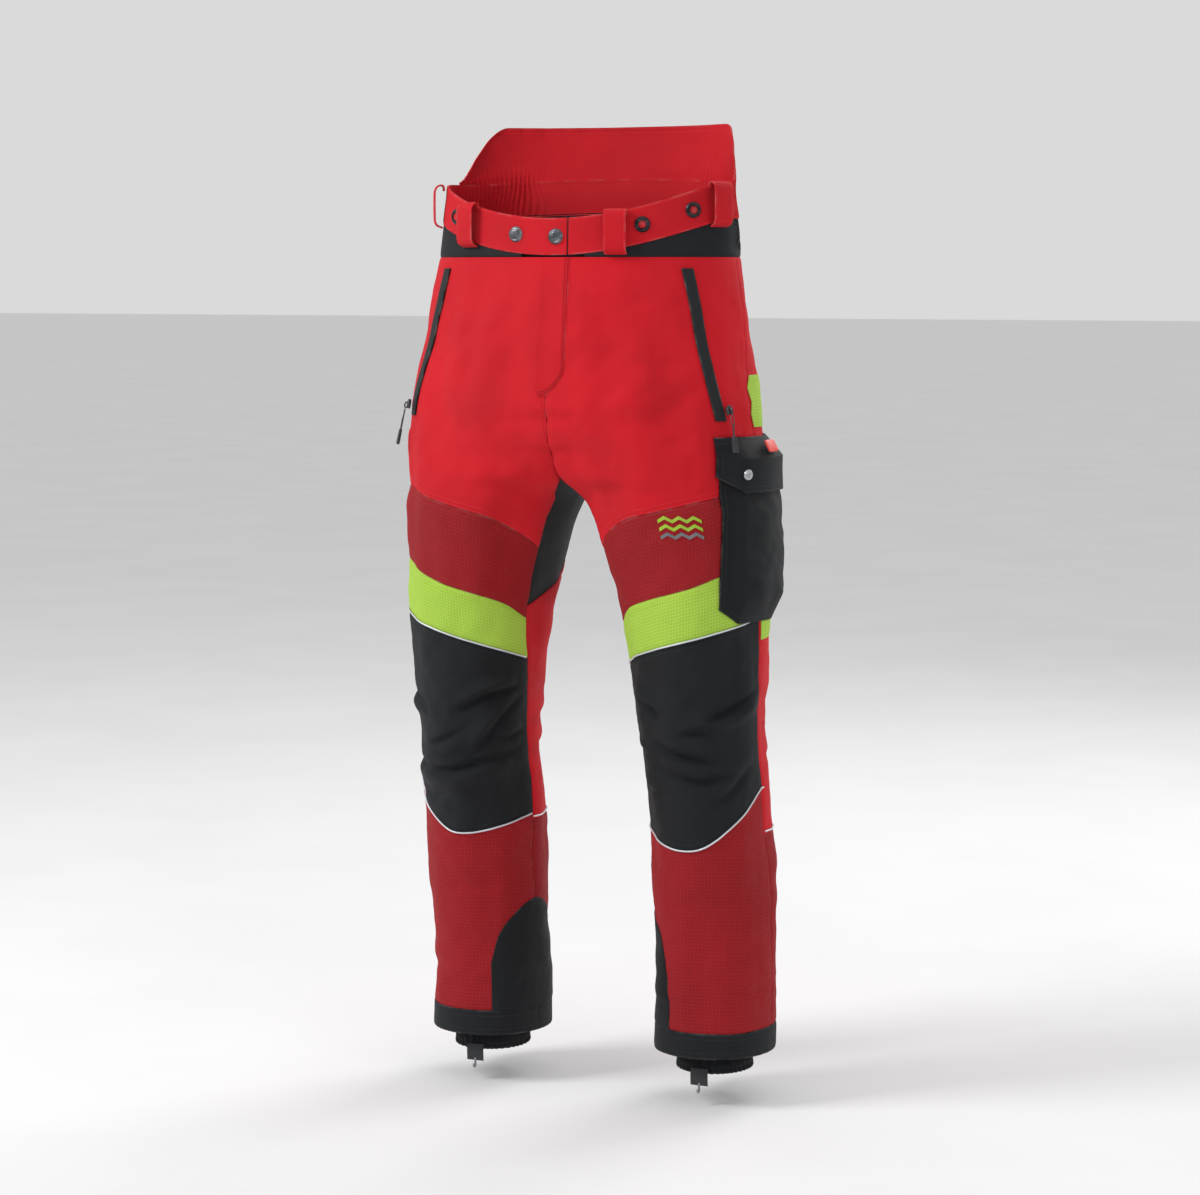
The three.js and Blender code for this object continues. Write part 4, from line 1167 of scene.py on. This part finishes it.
wear_on(turned("cargo_flap_stud", at, smooth_path(small_ring, 30)),
        bright_steel, body="cargo_flap")
at = seat(LEFT, 88, 778, 16.5).tipped(-0.5)
wear_on(plate("side_tag_rubber", at, rounded(26, 16, 3.2), 2.6, 0.8),
        tag_rubber, ["side_tag"], "side_tag")

# %% [markdown]
# ## Hems, gaiters and lace tabs
# A black band ends each leg. Inside it hangs a thin gaiter, gathered by elastic round the boot, to
# keep sawdust out. Gathers are a sine round the leg that grows towards the gathered edge, which is
# cheaper and steadier than simulating elastic. A webbing tab with a small hook holds the gaiter
# down on the boot's laces.

# %% Hem bands, gaiters, tabs
FRONT_OF_RING, END_OF_RING = -78, 282  # a ring's ends meet on the inner seam


def gaiter(word, side):
    u, v = grid(150, 44)
    angle = FRONT_OF_RING + (END_OF_RING - FRONT_OF_RING) * u
    height = -25.6 + 155 * v
    t = np.clip((v - 0.15) / 0.75, 0, 1)
    t = t * t * (3 - 2 * t)
    pleats = 1.5 * np.sin(2 * np.pi * (angle / 8 + 0.6 * waves(np.stack([angle, height, 0 * u], -1), 60, 71)))
    hem = np.exp(-(((height + 17) / 5) ** 2))
    stand = -29.4 + 14.6 * t + drape(side, angle, height) * t + pleats * (1 - t) * (1 - 0.6 * hem)
    return body_shell(f"gaiter_cloth_{word}", side, angle, height, stand, 1.0, "b")


TAB = [(0, 0), (0.8, -8), (0.4, -16), (0, -21.6)]
HOOK = [(0, -18.5, 0.4), (0, -23, 0.5), (0, -26.6, 0.4), (0, -29.2, 1.4), (0, -29.8, 3.4),
        (0, -28.4, 4.8), (0, -25.8, 4.9)]
for word, side in SIDES.items():
    ring = dict(inner=level(FRONT_OF_RING), outer=level(END_OF_RING), gap=0.0)
    wear_on(cloth(f"hem_cloth_{word}", side, low=level(0.2), high=level(HEM_BAND), out=0.5, sewn="tb",
                  roll=0.6, **ring),
            black_canvas, [f"hem_band_{word}"], f"shank_{word}")
    wear_on(gaiter(word, side), black_stretch, [f"gaiter_{word}"], f"shank_{word}")
    at, body = seat(side, 0, -19, -27.4), f"lace_tab_{word}"
    wear_on(strap(f"lace_tab_web_{word}", at, TAB, 23.5, 1.6),
            grey_webbing, [body], body)
    wear_on(tube(f"lace_hook_{word}", at(smooth_path(HOOK, 30)), 1.5, at.axes[0]),
            gunmetal, body=body)

# %% [markdown]
# ## The gusset
# Between the legs a stretch gusset closes the crotch. It is one surface from the front edge to the
# back edge of the right leg's opening, through the middle, to the left leg's. Its edges are tucked
# under the panels, so that no gap shows.

# %% Crotch gusset
def middle_height(angle):
    """The height at which the body's inner side reaches the middle, at an angle: where the leg's
    centre over its half width equals the angle's sine."""
    height = np.linspace(CROTCH, GUSSET_APEX + 6, 200)
    ratio = curve(SECTIONS, height) / curve(SECTIONS, height, 2)
    return np.interp(-np.abs(np.sin(np.radians(angle))), -ratio, height)


GUSSET_THICK, GUSSET_TUCK = 1.4, 4.0


def gusset_half(u, t, side, out):
    """Points of the gusset on one side: t is 0 in the middle of the body and 1 at the leg."""
    high, low = GUSSET_APEX - 24, GUSSET_TIP - 2
    height = np.where(u < 0.5, high + (low - high) * 2 * u, low + (high - low) * (2 * u - 1))
    slack = np.degrees(GUSSET_TUCK / curve(SECTIONS, height, 2))
    edge = np.where(u < 0.5, front_inner(height) + slack, back_inner(height) - 360 - slack)
    start = float(middle(np.array(GUSSET_APEX - 4.0)))
    centre = -start + (2 * start - 180) * u
    angle = centre + (edge - centre) * t
    height = middle_height(centre) + (height - middle_height(centre)) * t
    stand = out - 1.9 * t + drape(side, angle, height) * t
    points = on_body(side, angle, height, stand, 0.0)
    points[..., 0] *= t > 0
    return points


def gusset():
    u, v = grid(74, 81)
    t = np.abs(2 * v - 1)
    on_right = (v < 0.5)[..., None]
    outer, inner = (
        np.where(on_right, gusset_half(u, t, RIGHT, out), gusset_half(u, t, LEFT, out))
        for out in (0.0, -GUSSET_THICK)
    )
    inner[..., 2] += GUSSET_THICK * MM * (1 - t)
    return shell("gusset_cloth", outer, inner, flip=True)


wear_on(gusset(), black_stretch, ["crotch_gusset"])

# %% [markdown]
# ## Trims
# A thin grey reflective piping is caught in the seams above and below the knee. Small high-visibility
# patches sit on the hips and the backs of the thighs, and a row of stacked chevrons is embroidered
# on the left thigh, as a plain ornament. Each follows the same body surface and drape as the cloth
# it is sewn on, one millimetre further out.

# %% Piping, patches and chevrons
def piping(name, word, side, start, end, height):
    angle = np.linspace(start, end, 110)
    at = height(angle)
    path = on_body(side, angle, at, 0.7 + drape(side, angle, at))
    outward = on_body(side, angle, at, 2.0) - on_body(side, angle, at, 1.0)
    wear_on(tube(name, path, 1.15, outward), reflective_grey, bend=word)


def patch(name, side, angle, height, out=1.0, thick=1.0):
    stand = out + drape(side, angle, height)
    return body_shell(name, side, angle, height, stand, thick, "lrbt")


for word, side in SIDES.items():
    piping(f"piping_knee_top_{word}", word, side, -68, 84, hivis_low)
    piping(f"piping_knee_low_{word}", word, side, -76, 88, knee_low)
    piping(f"piping_calf_{word}", word, side, 91, 282, level(SHANK_TOP + 4))
    u, v = grid(30, 40)
    zigzag = 3.0 * np.abs(np.mod(v * 4, 2) - 1)
    wear_on(patch(f"hip_patch_{word}", side, 84 + zigzag * (1 - u) + 24 * u, 801 + 64 * v),
            lime_mesh)
    u, v = grid(46, 18)
    wear_on(patch(f"back_thigh_patch_{word}", side, 84 + 62 * u, 536 + 4 * u + (34 - 8 * u) * v),
            lime_mesh, bend=word)
embroidery = dict(kind="twill", pitch=0.0007, rough=0.5, rows=())
lime_thread = woven("lime_thread", linear(178, 218, 60), linear(132, 178, 34), **embroidery)
grey_thread = woven("grey_thread", linear(126, 130, 136), linear(84, 88, 94), **embroidery)
u, v = grid(60, 8)
for k, thread in enumerate((grey_thread, lime_thread, lime_thread)):
    peak = 5.0 * (1 - np.abs(2 * np.mod(u * 3, 1) - 1))
    wear_on(patch(f"thigh_chevron_{k + 1}", LEFT, 8 + 28 * u, 666 + 10 * k + peak + 4.2 * v, 0.9, 1.0),
            thread)

# %% [markdown]
# ## Pads and lining
# The cut-stopping pads hang between the outer cloth and the lining. They are soft, quilted layers
# with thin edges, so their outer and inner faces draw together there, and in the quilting lines.
# One lining per leg goes from the waistband to the hem.

# %% Pads and lining
QUILT = 64  # mm from one quilting line to the next


def pad(name, side, low, high):
    angle, height = panel_places(lambda h: inner_seam(h) + 9, lambda h: outer_seam(h) - 4,
                                 level(low), level(high), 4.2)
    across, up, edge, _, _ = edge_fields(on_body(side, angle, height, -6), "lrbt")
    line = np.minimum(*(np.abs(np.mod(run, QUILT) - QUILT / 2) for run in (across + up, across - up)))
    thin = 1.5 * np.exp(-((edge / 5) ** 2)) + 0.8 * np.exp(-((line / 3) ** 2))
    hang = drape(side, angle, height)
    outer = on_body(side, angle, height, -3.9 - thin + hang)
    inner = on_body(side, angle, height, -8.5 + thin + hang)
    return shell(name, outer, inner, flip=side == RIGHT, sewn="lrbt")


for word, side in SIDES.items():
    for place, low, high in (("thigh", 523, 686), ("knee", 276.5, 521.5), ("shin", 30, 275.5)):
        piece = pad(f"{place}_pad_fibre_{word}", side, low, high)
        wear_on(piece, pad_fibre, [f"{place}_pad_{word}"], bend=word)
    lining = cloth(f"lining_cloth_{word}", side, lambda h: -middle(h), lambda h: 180 + middle(h), level(2),
                   lambda angle: band_low(angle) - 1, out=-11.6, thick=1.3, sewn="", step=5.0, gap=0.0, roll=0)
    wear_on(lining, dark_liner, [f"upper_lining_{word}", f"shank_lining_{word}"],
            bend=word)

# %% [markdown]
# ## Studio
# A pale floor, a pale sky, one large soft light from the upper left, a weaker one from the right
# and one behind for the edges. Large lights are why the folds shade softly and have no hard shadow.
# The camera stands four metres off with a long lens, so the legs keep their true proportions.

# %% Floor, lights and camera
def soft_light(name, place, target, size, watts):
    lamp = bpy.data.lights.new(name, "AREA")
    lamp.size, lamp.energy = size, watts
    piece = bpy.data.objects.new(name, lamp)
    piece.location = place
    piece.rotation_euler = (Vector(target) - Vector(place)).to_track_quat("-Z", "Y").to_euler()
    scene.collection.objects.link(piece)
    return piece


floor_material = Recipe("pale_floor", 0.9)
speck = floor_material.ramp(floor_material.noise(3.0, 3.0), 0.3, 0.7)
floor_material.finish(floor_material.mix(speck, linear(226, 226, 227), linear(229, 229, 230)))
FLOOR_SIDE, FLOOR_LEVEL = 60, -1.125
corners = np.array([(x * FLOOR_SIDE, y * FLOOR_SIDE, FLOOR_LEVEL)
                    for x, y in ((-1, -1), (1, -1), (1, 1), (-1, 1))], float)
floor = make_mesh("pale_floor", corners, np.array([(0, 1, 2, 3)]))
floor.data.materials.append(floor_material.material)
lamps = [
    soft_light("key_light", (-2.6, -2.3, 2.2), (0, 0, -0.4), 1.5, 112),
    soft_light("fill_light", (3.0, -1.6, 0.8), (0, 0, -0.5), 2.0, 14),
    soft_light("back_light", (0.9, 2.8, 1.6), (0, 0, -0.3), 1.8, 46),
]
world = bpy.data.worlds.new("studio")
scene.world = world
world.use_nodes = True
world.node_tree.nodes["Background"].inputs["Color"].default_value = (1.0, 1.0, 1.0, 1.0)
world.node_tree.nodes["Background"].inputs["Strength"].default_value = 0.7

AZIMUTH, ELEVATION, DISTANCE, FRAME_WIDE, SENSOR = np.radians(24), np.radians(6), 4.0, 1.536, 36
ASIDE, AIM_LEVEL = 0.0128, -0.481  # the camera aims this far to its right of the origin, and below
target = np.array([ASIDE * np.cos(AZIMUTH), ASIDE * np.sin(AZIMUTH), AIM_LEVEL])
back = np.array([np.sin(AZIMUTH) * np.cos(ELEVATION), -np.cos(AZIMUTH) * np.cos(ELEVATION),
                 np.sin(ELEVATION)])
lens = bpy.data.cameras.new("camera")
lens.sensor_width = SENSOR
lens.lens = SENSOR * DISTANCE / FRAME_WIDE
camera = bpy.data.objects.new("camera", lens)
camera.location = target + DISTANCE * back
camera.rotation_euler = (-Vector(back)).to_track_quat("-Z", "Y").to_euler()
scene.collection.objects.link(camera)
scene.camera = camera
scene.view_settings.view_transform = "Standard"
print("camera at", [round(c, 2) for c in camera.location])
